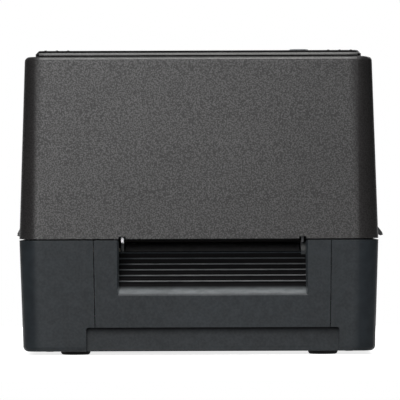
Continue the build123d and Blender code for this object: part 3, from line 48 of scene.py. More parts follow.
# Places in millimetres, as the solids have them
MECH_X = 8.0  # middle of the print mechanism
SEAM = 68.6  # between base and cover
FRONT_Y = -140.5
REAR_Y = 136.5
SLOPE = math.tan(math.radians(1.9))  # the walls lean in this much, away from the seam
EXIT_SIDES = (-47.4, 63.4)
RAMP_FOOT = (-136.8, 38.6)  # y and z where the ribbed ramp of the label exit begins
RAMP_NORMAL = (-0.8432, 0.5376)
MOTOR = (-73.05, 35.81)  # its shaft's y and z
PLATE_RIGHT = -68.5
BOARD_TOP = 13.5
DECK_TOP = 67.2
LATCH_Y = -95.0
TAB_Z = 73.6  # middle of a latch's finger tab
KNOB = (42.0, -32.52, 67.1)
SPRING_Y = -104.0
SPRING_LOW, SPRING_HIGH = 81.71, 94.68  # the wire's middle at both ends


def rear_face(z):
    """The outer rear face's y at height z, in millimetres."""
    return REAR_Y - abs(z - SEAM) * SLOPE


# Writing node trees

def put(tree, kind, inputs=None, **settings):
    """Adds a node; inputs are values or sockets by name or number."""
    node = tree.nodes.new(kind)
    for key, value in settings.items():
        setattr(node, key, value)
    for key, value in (inputs or {}).items():
        if isinstance(value, bpy.types.NodeSocket):
            tree.links.new(value, node.inputs[key])
        else:
            node.inputs[key].default_value = value
    return node


def calc(tree, operation, a, b=0.0, c=0.0):
    return put(tree, "ShaderNodeMath", {0: a, 1: b, 2: c}, operation=operation).outputs[0]


def remap(tree, value, low, high, to_low=0.0, to_high=1.0):
    """Smooth ramp of a value between two levels, clamped."""
    sizes = {"Value": value, "From Min": low, "From Max": high, "To Min": to_low, "To Max": to_high}
    return put(tree, "ShaderNodeMapRange", sizes, interpolation_type="SMOOTHSTEP").outputs["Result"]


def blend_colours(tree, share, a, b):
    node = put(tree, "ShaderNodeMix", {0: share, 6: a, 7: b}, data_type="RGBA")
    return node.outputs[2]


def product(tree, *shares):
    """Shares multiplied together: 1 only where each of them is 1."""
    result = shares[0]
    for share in shares[1:]:
        result = calc(tree, "MULTIPLY", result, share)
    return result


def without(tree, share):
    """What a share leaves."""
    return calc(tree, "SUBTRACT", 1.0, share)


def position(tree):
    """A point's X, Y and Z in metres, as its piece stands at rest."""
    return put(tree, "ShaderNodeSeparateXYZ", {0: put(tree, "ShaderNodeTexCoord").outputs["Object"]}).outputs


def facing_up(tree):
    """Z of the surface's normal, 1 where the surface faces straight up."""
    return put(tree, "ShaderNodeSeparateXYZ", {0: put(tree, "ShaderNodeNewGeometry").outputs["Normal"]}).outputs["Z"]


def shader_group(name, inputs, outputs):
    """Empty shader group with float inputs given as {name: default}, and its two end nodes."""
    tree = bpy.data.node_groups.new(name, "ShaderNodeTree")
    for title, default in inputs.items():
        tree.interface.new_socket(title, in_out="INPUT", socket_type="NodeSocketFloat").default_value = default
    for title, kind in outputs.items():
        tree.interface.new_socket(title, in_out="OUTPUT", socket_type=kind)
    return tree, tree.nodes.new("NodeGroupInput").outputs, tree.nodes.new("NodeGroupOutput").inputs


def object_points(tree, size):
    """Object coordinates in units of size millimetres; size may be a socket."""
    place = put(tree, "ShaderNodeTexCoord").outputs["Object"]
    per_unit = calc(tree, "DIVIDE", 1000.0, size)
    return put(tree, "ShaderNodeVectorMath", {0: place, 3: per_unit}, operation="SCALE").outputs[0]


def pebbled_grain():
    """Spark-eroded grain: small glossy pebbles of uneven size with dull pits between them."""
    tree, given, result = shader_group("pebbled_grain", {"Pebble": 1.6}, {
        "Height": "NodeSocketFloat", "Pits": "NodeSocketFloat", "Gloss": "NodeSocketFloat"})
    points = object_points(tree, given["Pebble"])
    warp = put(tree, "ShaderNodeTexNoise", {"Vector": points, "Scale": 1.4, "Detail": 1.0}).outputs["Color"]
    pushed = put(tree, "ShaderNodeVectorMath", {0: warp, 1: (0.5, 0.5, 0.5), 2: points}, operation="MULTIPLY_ADD")
    cells = put(tree, "ShaderNodeTexVoronoi", {"Vector": pushed.outputs[0], "Scale": 1.0}).outputs["Distance"]
    fine = put(tree, "ShaderNodeTexNoise", {"Vector": points, "Scale": 1.1, "Detail": 2.0}).outputs["Fac"]
    dome = remap(tree, cells, 0.8, 0.1, 0.0, 0.5)
    height = calc(tree, "ADD", fine, dome)
    tree.links.new(height, result["Height"])
    tree.links.new(remap(tree, cells, 0.42, 0.7), result["Pits"])
    tree.links.new(remap(tree, height, 0.5, 1.1, 0.33, 1.0), result["Gloss"])
    return tree


def fine_grain():
    """Fine even grain of a smoother moulding."""
    tree, given, result = shader_group("fine_grain", {"Size": 0.7}, {
        "Height": "NodeSocketFloat", "Tone": "NodeSocketFloat", "Gloss": "NodeSocketFloat"})
    points = object_points(tree, given["Size"])
    noise = put(tree, "ShaderNodeTexNoise", {"Vector": points, "Scale": 1.0, "Detail": 3.0, "Roughness": 0.6})
    broad = put(tree, "ShaderNodeTexNoise", {"Vector": points, "Scale": 0.11, "Detail": 2.0})
    speck = put(tree, "ShaderNodeTexNoise", {"Vector": points, "Scale": 0.5, "Detail": 1.0})
    tree.links.new(noise.outputs["Fac"], result["Height"])
    tree.links.new(remap(tree, broad.outputs["Fac"], 0.3, 0.7), result["Tone"])
    tree.links.new(remap(tree, speck.outputs["Fac"], 0.3, 0.7, 0.65, 1.0), result["Gloss"])
    return tree


def edge_wear():
    """Where handling has worn an edge, broken up by noise, and a normal that rounds the edge."""
    tree, given, result = shader_group(
        "edge_wear", {"Edge": 0.4, "Breakup": 5.0}, {"Wear": "NodeSocketFloat", "Normal": "NodeSocketVector"})
    radius = calc(tree, "MULTIPLY", given["Edge"], MM)
    rounded = put(tree, "ShaderNodeBevel", {"Radius": radius}, samples=4).outputs[0]
    plain = put(tree, "ShaderNodeNewGeometry").outputs["Normal"]
    match = put(tree, "ShaderNodeVectorMath", {0: rounded, 1: plain}, operation="DOT_PRODUCT").outputs["Value"]
    edge = remap(tree, match, 0.995, 0.8)
    points = object_points(tree, given["Breakup"])
    noise = put(tree, "ShaderNodeTexNoise", {"Vector": points, "Scale": 1.0, "Detail": 4.0}).outputs["Fac"]
    tree.links.new(product(tree, edge, remap(tree, noise, 0.4, 0.65)), result["Wear"])
    tree.links.new(rounded, result["Normal"])
    return tree


def handling():
    """Smudges of fingers and wiping, as a change of gloss, and a soft clouding of the colour."""
    tree, given, result = shader_group(
        "handling", {"Size": 38.0}, {"Smudge": "NodeSocketFloat", "Cloud": "NodeSocketFloat"})
    points = object_points(tree, given["Size"])
    smear = put(tree, "ShaderNodeTexNoise", {"Vector": points, "Scale": 1.0, "Detail": 3.0, "Distortion": 0.8})
    cloud = put(tree, "ShaderNodeTexNoise", {"Vector": points, "Scale": 0.45, "Detail": 2.0})
    tree.links.new(remap(tree, smear.outputs["Fac"], 0.42, 0.68), result["Smudge"])
    tree.links.new(remap(tree, cloud.outputs["Fac"], 0.3, 0.7), result["Cloud"])
    return tree


def settled_dust():
    """Thin dust on what faces up, patchy."""
    tree, given, result = shader_group("settled_dust", {"Patch": 9.0}, {"Dust": "NodeSocketFloat"})
    up = facing_up(tree)
    points = object_points(tree, given["Patch"])
    noise = put(tree, "ShaderNodeTexNoise", {"Vector": points, "Scale": 1.0, "Detail": 6.0, "Roughness": 0.7})
    patchy = remap(tree, noise.outputs["Fac"], 0.4, 0.75)
    tree.links.new(product(tree, remap(tree, up, 0.5, 1.0), patchy), result["Dust"])
    return tree


def drawn_lines():
    """Fine lines left by drawing, grinding or turning, along one axis."""
    tree, given, result = shader_group(
        "drawn_lines", {"Along X": 1.0, "Along Y": 1.0, "Along Z": 1.0},
        {"Height": "NodeSocketFloat", "Tone": "NodeSocketFloat"})
    stretch = put(tree, "ShaderNodeCombineXYZ", {i: given[i] for i in range(3)}).outputs[0]
    points = put(tree, "ShaderNodeVectorMath", {0: object_points(tree, 0.25), 1: stretch}, operation="MULTIPLY")
    lines = put(tree, "ShaderNodeTexNoise", {"Vector": points.outputs[0], "Scale": 1.0, "Detail": 3.0})
    broad = put(tree, "ShaderNodeTexNoise", {"Vector": points.outputs[0], "Scale": 0.12, "Detail": 2.0})
    tree.links.new(lines.outputs["Fac"], result["Height"])
    tree.links.new(remap(tree, broad.outputs["Fac"], 0.3, 0.7), result["Tone"])
    return tree


PEBBLES = pebbled_grain()
FINE = fine_grain()
WEAR = edge_wear()
HANDS = handling()
DUST = settled_dust()
LINES = drawn_lines()


def use(tree, group, **values):
    """Places a shader group in a material with its own values; its outputs."""
    node = tree.nodes.new("ShaderNodeGroup")
    node.node_tree = group
    for title, value in values.items():
        node.inputs[title.replace("_", " ")].default_value = value
    return node.outputs


def new_material(name):
    material = bpy.data.materials.new(name)
    material.use_nodes = True
    tree = material.node_tree
    tree.nodes.clear()
    shader = tree.nodes.new("ShaderNodeBsdfPrincipled")
    out = tree.nodes.new("ShaderNodeOutputMaterial")
    tree.links.new(shader.outputs[0], out.inputs["Surface"])
    return material, tree, shader


def colour(r, g, b):
    """Colour given as a screen shows it, 0 to 255."""
    return tuple(((v / 255 + 0.055) / 1.055) ** 2.4 if v > 10 else v / 3294 for v in (r, g, b)) + (1.0,)


def shade(base, factor):
    return tuple(min(1.0, v * factor) for v in base[:3]) + (1.0,)


def moulded(name, base, gloss, pebble=0.0, depth=0.5, edge=0.4, rubbed_and_highlit=0.35, dust=0.0, specular=0.5,
            skin=0.0, marks=None):
    """Moulded plastic. gloss is its roughness; pebble is its grain in millimetres, 0 for a fine grain.

    skin is the shine that the grain's high spots have. marks adds local marks, as below.
    """
    material, tree, shader = new_material(name)
    wear = use(tree, WEAR, Edge=edge, Breakup=6.0)
    hands = use(tree, HANDS)
    if pebble:
        grain = use(tree, PEBBLES, Pebble=pebble)
        dark = grain["Pits"]
    else:
        grain = use(tree, FINE, Size=0.7)
        dark = grain["Tone"]
    tone = blend_colours(tree, hands["Cloud"], shade(base, 0.9), shade(base, 1.1))
    tone = blend_colours(tree, product(tree, dark, 0.5 if pebble else 0.35), tone, shade(base, 0.4))
    tone = blend_colours(tree, product(tree, wear["Wear"], rubbed_and_highlit), tone, shade(base, 2.2))
    if dust:
        film = use(tree, DUST)
        tone = blend_colours(tree, product(tree, film["Dust"], dust), tone, colour(150, 148, 144))
    rough = calc(tree, "MULTIPLY_ADD", hands["Smudge"], -0.07, gloss + 0.03)
    rough = calc(tree, "MULTIPLY_ADD", dark, 0.15 if pebble else 0.08, rough)
    shine = product(tree, grain["Gloss"], skin)
    if marks:
        tone, rough, shine = marks(tree, tone, rough, shine)
    if skin:
        tree.links.new(shine, shader.inputs["Coat Weight"])
        shader.inputs["Coat Roughness"].default_value = gloss
    tree.links.new(tone, shader.inputs["Base Color"])
    tree.links.new(rough, shader.inputs["Roughness"])
    shader.inputs["Specular IOR Level"].default_value = specular
    bump = put(tree, "ShaderNodeBump", {
        "Strength": depth, "Distance": (0.05 if pebble else 0.03) * MM,
        "Height": grain["Height"], "Normal": wear["Normal"]})
    tree.links.new(bump.outputs[0], shader.inputs["Normal"])
    return material


# Local marks, most of them painted highlights and painted shade. A material's marks function takes its colour,
# roughness and, for plastic, shine so far, and returns them with the marks added.

def in_span(tree, axis, low, high):
    """1 where a point's coordinate on an axis, in millimetres, is from low to high."""
    return calc(tree, "COMPARE", position(tree)[axis], (low + high) / 2 * MM, (high - low) / 2 * MM)


def above_ramp(tree, low, high):
    """1 where a point's height above the floor of the exit's ramp, in millimetres, is from low to high."""
    place = put(tree, "ShaderNodeTexCoord").outputs["Object"]
    along = put(tree, "ShaderNodeVectorMath", {0: place, 1: (0, *RAMP_NORMAL)}, operation="DOT_PRODUCT")
    foot = RAMP_NORMAL[0] * RAMP_FOOT[0] + RAMP_NORMAL[1] * RAMP_FOOT[1]
    height = calc(tree, "MULTIPLY_ADD", along.outputs["Value"], 1000.0, -foot)
    return calc(tree, "COMPARE", height, (low + high) / 2, (high - low) / 2)


def round_spot(tree, x, z, outer, inner, strength):
    """Soft round spot as seen from the front, with its place and radii in millimetres."""
    place = position(tree)
    flat = put(tree, "ShaderNodeCombineXYZ", {0: place["X"], 2: place["Z"]}).outputs[0]
    off = put(tree, "ShaderNodeVectorMath", {0: flat, 1: (x * MM, 0.0, z * MM)}, operation="DISTANCE")
    return remap(tree, off.outputs["Value"], outer * MM, inner * MM, 0.0, strength)


def exit_polish_and_painted_light(tree, tone, rough, shine):
    """Exit ramp: painted shade darkens the rib valleys, which are also rougher and without shine; painted highlights
    light the rib crests, fading upward and to the left, the lip, which labels also polish smoother, and the two nubs.
    """
    place = position(tree)
    ramp = product(tree, in_span(tree, "X", *EXIT_SIDES), in_span(tree, "Z", 38.0, 61.6))
    lip = product(
        tree, in_span(tree, "X", -48.2, 64.2), in_span(tree, "Y", -141.0, -133.5),
        remap(tree, place["Z"], 35.5 * MM, 37.4 * MM), remap(tree, place["Z"], 41.4 * MM, 37.7 * MM))
    painted_valley_shade = product(tree, above_ramp(tree, -0.5, 0.55), ramp, without(tree, lip))
    painted_crest_highlight = product(
        tree, above_ramp(tree, 0.75, 1.3), ramp,
        remap(tree, place["Z"], 60.5 * MM, 52.0 * MM, 0.0, 0.8),
        remap(tree, place["X"], -46.0 * MM, -36.0 * MM, 0.2, 1.0))
    streaks = put(tree, "ShaderNodeVectorMath", {0: object_points(tree, 1.0), 1: (0.13, 0.3, 0.5)},
                  operation="MULTIPLY")
    uneven = put(tree, "ShaderNodeTexNoise", {"Vector": streaks.outputs[0], "Scale": 1.0, "Detail": 5.0})
    rubbed_and_highlit = remap(tree, uneven.outputs["Fac"], 0.25, 0.7, 0.55, 1.0)
    # painted shade: the valleys between the ribs darkened nearly to black
    tone = blend_colours(tree, painted_valley_shade, tone, (0.004, 0.004, 0.0042, 1.0))
    # painted highlight on the rib crests, streaky, fading towards the top and the left end
    tone = blend_colours(tree, product(tree, painted_crest_highlight, rubbed_and_highlit), tone, colour(96, 97, 98))
    # painted highlight: a pale band across the lip
    tone = blend_colours(tree, product(tree, lip, rubbed_and_highlit), tone, colour(84, 88, 90))
    # painted highlights: soft pale spots on the two nubs
    for x, strength in ((62.0, 0.45), (-46.6, 0.3)):
        nub = product(tree, round_spot(tree, x, 63.4, 2.3, 0.9, strength), in_span(tree, "Y", -136.0, -100.0))
        tone = blend_colours(tree, nub, tone, colour(112, 112, 110))
    rough = calc(tree, "MULTIPLY_ADD", lip, -0.1, calc(tree, "MULTIPLY_ADD", painted_valley_shade, 0.4, rough))
    return tone, rough, product(tree, shine, without(tree, painted_valley_shade))


def panel_edges(tree, tone, rough, shine):
    """Raised panel: a painted shadow line, dull, in the seam at its foot, a painted highlight band along its front
    face, painted shade on a smooth bevel, and a dull top face.
    """
    up = facing_up(tree)
    painted_seam_shadow = in_span(tree, "Z", 176.6, 177.9)
    rubbed_and_highlit = product(
        tree, in_span(tree, "Z", 177.9, 179.2), in_span(tree, "Y", -134.0, -129.0), in_span(tree, "X", -94.5, 94.5))
    painted_bevel_shade = product(tree, in_span(tree, "Z", 179.2, 180.65), calc(tree, "COMPARE", up, 0.7, 0.15))
    top = calc(tree, "GREATER_THAN", up, 0.9)
    # painted shadow: a near-black line in the seam at the panel's foot
    tone = blend_colours(tree, painted_seam_shadow, tone, (0.003, 0.003, 0.003, 1.0))
    # painted highlight: a pale band along the panel's front face
    tone = blend_colours(tree, product(tree, rubbed_and_highlit, 0.85), tone, colour(108, 108, 107))
    # painted shade: the bevel darkened nearly to black
    tone = blend_colours(tree, painted_bevel_shade, tone, (0.006, 0.006, 0.006, 1.0))
    for share, change in ((painted_bevel_shade, -0.14), (painted_seam_shadow, 0.5), (top, 0.15)):
        rough = calc(tree, "MULTIPLY_ADD", share, change, rough)
    dull = calc(tree, "MAXIMUM", calc(tree, "MAXIMUM", painted_seam_shadow, painted_bevel_shade), product(tree, top, 0.8))
    return tone, rough, product(tree, shine, without(tree, dull))


def dull_corners(tree, shine):
    """The front corners of cover and base have less shine; on the right it fades earlier."""
    place = position(tree)
    lean = calc(tree, "ABSOLUTE", calc(tree, "SUBTRACT", place["Z"], SEAM * MM))
    right = calc(tree, "MULTIPLY_ADD", lean, SLOPE, place["X"])
    left = calc(tree, "SUBTRACT", calc(tree, "MULTIPLY", lean, SLOPE), place["X"])
    fade_left = remap(tree, left, 94.5 * MM, 100.5 * MM)
    fade_right = remap(tree, right, 91.5 * MM, 97.5 * MM)
    corner = product(tree, calc(tree, "MAXIMUM", fade_left, fade_right), in_span(tree, "Y", -141.0, -133.5))
    return product(tree, shine, calc(tree, "MULTIPLY_ADD", corner, -0.85, 1.0))


def cover_marks(tree, tone, rough, shine):
    """Cover: a painted highlight makes a pale band along its upper front edge, and its front corners are dull."""
    rubbed_and_highlit = product(
        tree, in_span(tree, "Z", 175.3, 176.5), in_span(tree, "X", -94.0, 94.0), in_span(tree, "Y", -140.0, -133.0))
    # painted highlight: a pale band along the cover's upper front edge
    tone = blend_colours(tree, product(tree, rubbed_and_highlit, 0.6), tone, colour(92, 92, 91))
    return tone, rough, dull_corners(tree, shine)


def base_marks(tree, tone, rough, shine):
    """Base: painted shade high in the recess under the front panel, darkest at its top, which is also rougher and
    without shine there, and dull front corners.
    """
    painted_recess_shade = product(
        tree, in_span(tree, "X", -67.4, 83.4), in_span(tree, "Y", -136.0, -133.2),
        remap(tree, position(tree)["Z"], 11.5 * MM, 16.8 * MM, 0.0, 0.9))
    # painted shade: the recess darkened towards its top edge, under the panel
    tone = blend_colours(tree, painted_recess_shade, tone, (0.003, 0.0034, 0.004, 1.0))
    shine = product(tree, dull_corners(tree, shine), without(tree, painted_recess_shade))
    return tone, calc(tree, "MULTIPLY_ADD", painted_recess_shade, 0.3, rough), shine


def ear_marks(tree, tone, rough):
    """The head bracket's ears: painted shade darkens them low in the exit, a painted highlight makes a bright patch
    on the left, and a painted grey highlight a soft spot on the right.
    """
    painted_highlight_patch = product(tree, in_span(tree, "X", -60.0, -40.0), in_span(tree, "Z", 66.2, 69.6))
    below = product(tree, in_span(tree, "Y", -140.0, -120.0), in_span(tree, "Z", 50.0, 66.2), 0.9)
    # painted shade: the ears darkened nearly to black low in the exit
    tone = blend_colours(tree, below, tone, (0.004, 0.004, 0.004, 1.0))
    # painted highlight: a soft grey spot on the right ear
    tone = blend_colours(tree, round_spot(tree, 61.9, 63.2, 1.7, 0.8, 0.9), tone, colour(70, 70, 70))
    # painted highlight: a bright patch on the left ear
    tone = blend_colours(tree, painted_highlight_patch, tone, colour(235, 236, 238))
    return tone, calc(tree, "MULTIPLY_ADD", painted_highlight_patch, -0.1, rough)


# The other kinds of material

def metal(name, base, gloss, along="x", depth=0.25, edge=0.15, marks=None):
    """Bare metal with drawing lines along one axis and a little tarnish."""
    material, tree, shader = new_material(name)
    lines = use(tree, LINES, **{f"Along_{along.upper()}": 0.03})
    wear = use(tree, WEAR, Edge=edge, Breakup=3.0)
    hands = use(tree, HANDS, Size=16.0)
    tone = blend_colours(tree, lines["Tone"], shade(base, 0.86), shade(base, 1.08))
    tone = blend_colours(tree, product(tree, hands["Smudge"], 0.25), tone, shade(base, 0.6))
    tone = blend_colours(tree, product(tree, wear["Wear"], 0.5), tone, shade(base, 1.3))
    rough = calc(tree, "MULTIPLY_ADD", hands["Smudge"], 0.14, gloss)
    if marks:
        tone, rough = marks(tree, tone, rough)
    tree.links.new(tone, shader.inputs["Base Color"])
    shader.inputs["Metallic"].default_value = 1.0
    tree.links.new(rough, shader.inputs["Roughness"])
    bump = put(tree, "ShaderNodeBump", {
        "Strength": depth, "Distance": 0.02 * MM, "Height": lines["Height"], "Normal": wear["Normal"]})
    tree.links.new(bump.outputs[0], shader.inputs["Normal"])
    return material


def rubber(name, base, gloss, size=0.5, depth=0.5):
    """Matt rubber with a ground or moulded skin and pale scuffs."""
    material, tree, shader = new_material(name)
    grain = use(tree, FINE, Size=size)
    wear = use(tree, WEAR, Edge=0.5, Breakup=2.0)
    hands = use(tree, HANDS, Size=12.0)
    tone = blend_colours(tree, grain["Tone"], shade(base, 0.8), shade(base, 1.25))
    tone = blend_colours(tree, product(tree, wear["Wear"], 0.5), tone, shade(base, 2.5))
    tree.links.new(tone, shader.inputs["Base Color"])
    tree.links.new(calc(tree, "MULTIPLY_ADD", hands["Smudge"], -0.12, gloss), shader.inputs["Roughness"])
    bump = put(tree, "ShaderNodeBump", {
        "Strength": depth, "Distance": 0.03 * MM, "Height": grain["Height"], "Normal": wear["Normal"]})
    tree.links.new(bump.outputs[0], shader.inputs["Normal"])
    return material


def smoked_pane(name, tint, border=None):
    """Clear plastic with wiping marks; the window has a black printed border."""
    material, tree, shader = new_material(name)
    hands = use(tree, HANDS, Size=22.0)
    fine = use(tree, FINE, Size=2.5)
    base = blend_colours(tree, hands["Cloud"], shade(tint, 0.94), shade(tint, 1.04))
    rough = calc(tree, "MULTIPLY_ADD", hands["Smudge"], 0.07, 0.04)
    if border:
        place = position(tree)
        middle_x, middle_y, half = border
        off_x = calc(tree, "ABSOLUTE", calc(tree, "SUBTRACT", place["X"], middle_x * MM))
        off_y = calc(tree, "ABSOLUTE", calc(tree, "SUBTRACT", place["Y"], middle_y * MM))
        edge = calc(tree, "GREATER_THAN", calc(tree, "MAXIMUM", off_x, off_y), half * MM)
        base = blend_colours(tree, edge, base, (0.004, 0.004, 0.004, 1.0))
    tree.links.new(base, shader.inputs["Base Color"])
    tree.links.new(rough, shader.inputs["Roughness"])
    shader.inputs["Transmission Weight"].default_value = 1.0
    shader.inputs["IOR"].default_value = 1.49
    bump = put(tree, "ShaderNodeBump", {"Strength": 0.06, "Distance": 0.05 * MM, "Height": fine["Height"]})
    tree.links.new(bump.outputs[0], shader.inputs["Normal"])
    return material


def circuit_board(name):
    """Green lacquer over copper tracks, with tinned pads."""
    material, tree, shader = new_material(name)
    points = object_points(tree, 3.2)
    tracks = put(tree, "ShaderNodeTexBrick", {"Vector": points, "Scale": 1.0, "Mortar Size": 0.09, "Bias": 0.0},
                 offset=0.5, squash=0.6, squash_frequency=3).outputs["Fac"]
    dots = put(tree, "ShaderNodeTexVoronoi", {"Vector": points, "Scale": 0.9}).outputs["Distance"]
    pads = remap(tree, dots, 0.16, 0.1)
    grain = use(tree, FINE, Size=0.8)
    base = blend_colours(tree, grain["Tone"], colour(18, 78, 44), colour(24, 92, 52))
    base = blend_colours(tree, product(tree, tracks, 0.7), base, colour(40, 122, 66))
    base = blend_colours(tree, pads, base, colour(196, 192, 178))
    tree.links.new(base, shader.inputs["Base Color"])
    tree.links.new(calc(tree, "MULTIPLY_ADD", pads, 0.1, 0.28), shader.inputs["Roughness"])
    tree.links.new(calc(tree, "MULTIPLY", pads, 0.9), shader.inputs["Metallic"])
    height = calc(tree, "MULTIPLY_ADD", tracks, 0.6, pads)
    bump = put(tree, "ShaderNodeBump", {"Strength": 0.5, "Distance": 0.05 * MM, "Height": height})
    tree.links.new(bump.outputs[0], shader.inputs["Normal"])
    return material


COVER = colour(32, 31, 31)
BASE = colour(30, 34, 37)
finishes = {
    "cover_plastic": moulded(
        "cover_grained", COVER, 0.36, pebble=0.85, depth=1.0, edge=0.7, dust=0.05, specular=0.12, skin=1.0,
        marks=cover_marks),
    "panel_plastic": moulded(
        "raised_panel_grained", COVER, 0.36, pebble=0.85, depth=0.9, edge=0.5, dust=0.04, specular=0.04, skin=1.0,
        marks=panel_edges),
    "base_plastic": moulded(
        "base_fine_grain", BASE, 0.4, depth=0.6, edge=0.6, dust=0.05, specular=0.05, skin=0.37, marks=base_marks),
    "front_plastic": moulded(
        "front_fine_grain", BASE, 0.4, depth=0.6, edge=0.45, specular=0.05, skin=0.37, marks=exit_polish_and_painted_light),
    "deck_plastic": moulded("deck_black", colour(46, 46, 48), 0.42, depth=0.4, dust=0.12),
    "slide_plastic": moulded("slide_grey", colour(104, 108, 112), 0.4, depth=0.4, rubbed_and_highlit=0.5),
    "latch_plastic": moulded("latch_dark", colour(48, 48, 49), 0.4, depth=0.5, rubbed_and_highlit=0.6),
    "button_plastic": moulded("button_satin", colour(120, 123, 126), 0.3, depth=0.3, rubbed_and_highlit=0.4),
    "socket_plastic": moulded("socket_black", colour(34, 34, 36), 0.38, depth=0.3),
    "gear_plastic": moulded("gear_ivory", colour(222, 216, 200), 0.33, depth=0.25, edge=0.15, rubbed_and_highlit=0.2),
    "frame_plastic": moulded("frame_black", colour(50, 50, 53), 0.45, depth=0.5),
    "window_clear": smoked_pane("window_smoked", colour(120, 120, 124), border=(0.0, 32.0, 52.0)),
    "light_clear": smoked_pane("light_guide", colour(205, 222, 210)),
    "rubber_black": rubber("foot_rubber", colour(24, 24, 24), 0.75),
    "roller_rubber": rubber("platen_rubber", colour(34, 34, 35), 0.6, size=0.3, depth=0.3),
    "steel": metal("steel_bright", colour(196, 196, 194), 0.24),
    "plate_steel": metal("steel_zinc", colour(180, 183, 186), 0.36, along="y"),
    "aluminium": metal("aluminium_satin", colour(206, 208, 210), 0.32),
    "bronze": metal("bronze_sintered", colour(172, 138, 88), 0.4),
    "ceramic": moulded("head_ceramic", colour(11, 10, 10), 0.45, depth=0.1, edge=0.1, specular=0.05),
    "motor_steel": moulded("motor_black", colour(32, 32, 34), 0.35, depth=0.5),
    "board_green": circuit_board("board_lacquered"),
}
bracket_steel = metal("bracket_dark", colour(66, 67, 68), 0.34, along="y", marks=ear_marks)
tear_steel = moulded("tear_bar_blackened", colour(16, 16, 16), 0.6, depth=0.2, edge=0.1, specular=0.1)
screw_steel = metal("screw_zinc", colour(170, 172, 176), 0.3, along="z")
screw_black = moulded("screw_blackened", colour(30, 30, 31), 0.35, depth=0.3, edge=0.1)
anodised = metal("sink_black_anodised", colour(30, 30, 32), 0.45)
own_finish = {"head_bracket": bracket_steel, "tear_bar": tear_steel, "heat_sink": anodised}

for name, thing in nodes.items():
    for holder in thing.material_slots:
        key = holder.material.name.split(".")[0]
        holder.material = own_finish.get(name) or finishes.get(key) or holder.material


# Geometry Nodes for what repeats

def geometry_tree(name, inputs):
    """Geometry node tree with a mesh in and out and named float inputs."""
    tree = bpy.data.node_groups.new(name, "GeometryNodeTree")
    tree.interface.new_socket("Geometry", in_out="INPUT", socket_type="NodeSocketGeometry")
    for title, default in inputs.items():
        tree.interface.new_socket(title, in_out="INPUT", socket_type="NodeSocketFloat").default_value = default
    tree.interface.new_socket("Geometry", in_out="OUTPUT", socket_type="NodeSocketGeometry")
    return tree, tree.nodes.new("NodeGroupInput").outputs, tree.nodes.new("NodeGroupOutput").inputs


def end_tree(tree, instances, result, material):
    real = put(tree, "GeometryNodeRealizeInstances", {0: instances}).outputs[0]
    dressed = put(tree, "GeometryNodeSetMaterial", {0: real, "Material": material})
    tree.links.new(dressed.outputs[0], result["Geometry"])


def grow(name, points, aims, tree, values, body):
    """Runs a geometry tree on points in millimetres, each with its aim, and rides the mesh on a body."""
    mesh = bpy.data.meshes.new(name + "_points")
    mesh.from_pydata([Vector(p) * MM for p in points], [], [])
    aim = mesh.attributes.new("aim", "FLOAT_VECTOR", "POINT")
    for k, vector in enumerate(aims):
        aim.data[k].vector = vector
    seed = bpy.data.objects.new(name + "_seed", mesh)
    scene.collection.objects.link(seed)
    modifier = seed.modifiers.new("grow", "NODES")
    modifier.node_group = tree
    for item in tree.interface.items_tree:
        if item.in_out == "INPUT" and item.name in values:
            modifier[item.identifier] = values[item.name]
    shape = seed.evaluated_get(bpy.context.evaluated_depsgraph_get())
    solid = bpy.data.meshes.new_from_object(shape)
    seed.modifiers.remove(modifier)
    bpy.data.objects.remove(seed)
    bpy.data.meshes.remove(mesh)
    solid.name = name
    piece = bpy.data.objects.new(name, solid)
    scene.collection.objects.link(piece)
    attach(piece, body)
    return piece


def aimed(tree, geometry, shape):
    """Stands a shape on each point, its Z axis along the point's aim."""
    aim = put(tree, "GeometryNodeInputNamedAttribute", {"Name": "aim"}, data_type="FLOAT_VECTOR").outputs[0]
    turn = put(tree, "FunctionNodeAlignRotationToVector", {"Vector": aim}, axis="Z").outputs[0]
    return put(tree, "GeometryNodeInstanceOnPoints",
               {"Points": geometry, "Instance": shape, "Rotation": turn}).outputs[0]


def metres(tree, value):
    return calc(tree, "MULTIPLY", value, MM)


def screw_tree(material):
    """Pan-head screw: a tapered head with a cross recess, on a washer face."""
    tree, given, result = geometry_tree("screws_" + material.name, {"Head": 5.5, "Rise": 1.6})
    half = metres(tree, calc(tree, "DIVIDE", given["Head"], 2.0))
    rise = metres(tree, given["Rise"])
    crown, foot = calc(tree, "MULTIPLY", half, 0.72), calc(tree, "MULTIPLY", half, 0.96)
    cone = put(tree, "GeometryNodeMeshCone", {
        "Vertices": 20, "Radius Top": crown, "Radius Bottom": foot, "Depth": rise}, fill_type="NGON").outputs["Mesh"]
    rim = put(tree, "GeometryNodeMeshCylinder", {
        "Vertices": 20, "Radius": half, "Depth": calc(tree, "MULTIPLY", rise, 0.3)}, fill_type="NGON").outputs["Mesh"]
    bar_size = put(tree, "ShaderNodeCombineXYZ", {
        0: calc(tree, "MULTIPLY", half, 1.05), 1: calc(tree, "MULTIPLY", half, 0.2), 2: rise}).outputs[0]
    bar = put(tree, "GeometryNodeMeshCube", {"Size": bar_size}).outputs["Mesh"]
    lift = put(tree, "ShaderNodeCombineXYZ", {2: calc(tree, "MULTIPLY", rise, 0.95)}).outputs[0]
    bars = []
    for turn in (0.0, math.pi / 2):
        bars.append(put(tree, "GeometryNodeTransform", {
            "Geometry": bar, "Translation": lift, "Rotation": (0.0, 0.0, turn)}).outputs[0])
    cut = put(tree, "GeometryNodeMeshBoolean", {"Mesh 1": cone}, operation="DIFFERENCE")
    for one in bars:
        tree.links.new(one, cut.inputs["Mesh 2"])
    both = tree.nodes.new("GeometryNodeJoinGeometry")
    tree.links.new(cut.outputs[0], both.inputs[0])
    tree.links.new(rim, both.inputs[0])
    end_tree(tree, aimed(tree, given["Geometry"], both.outputs[0]), result, material)
    return tree


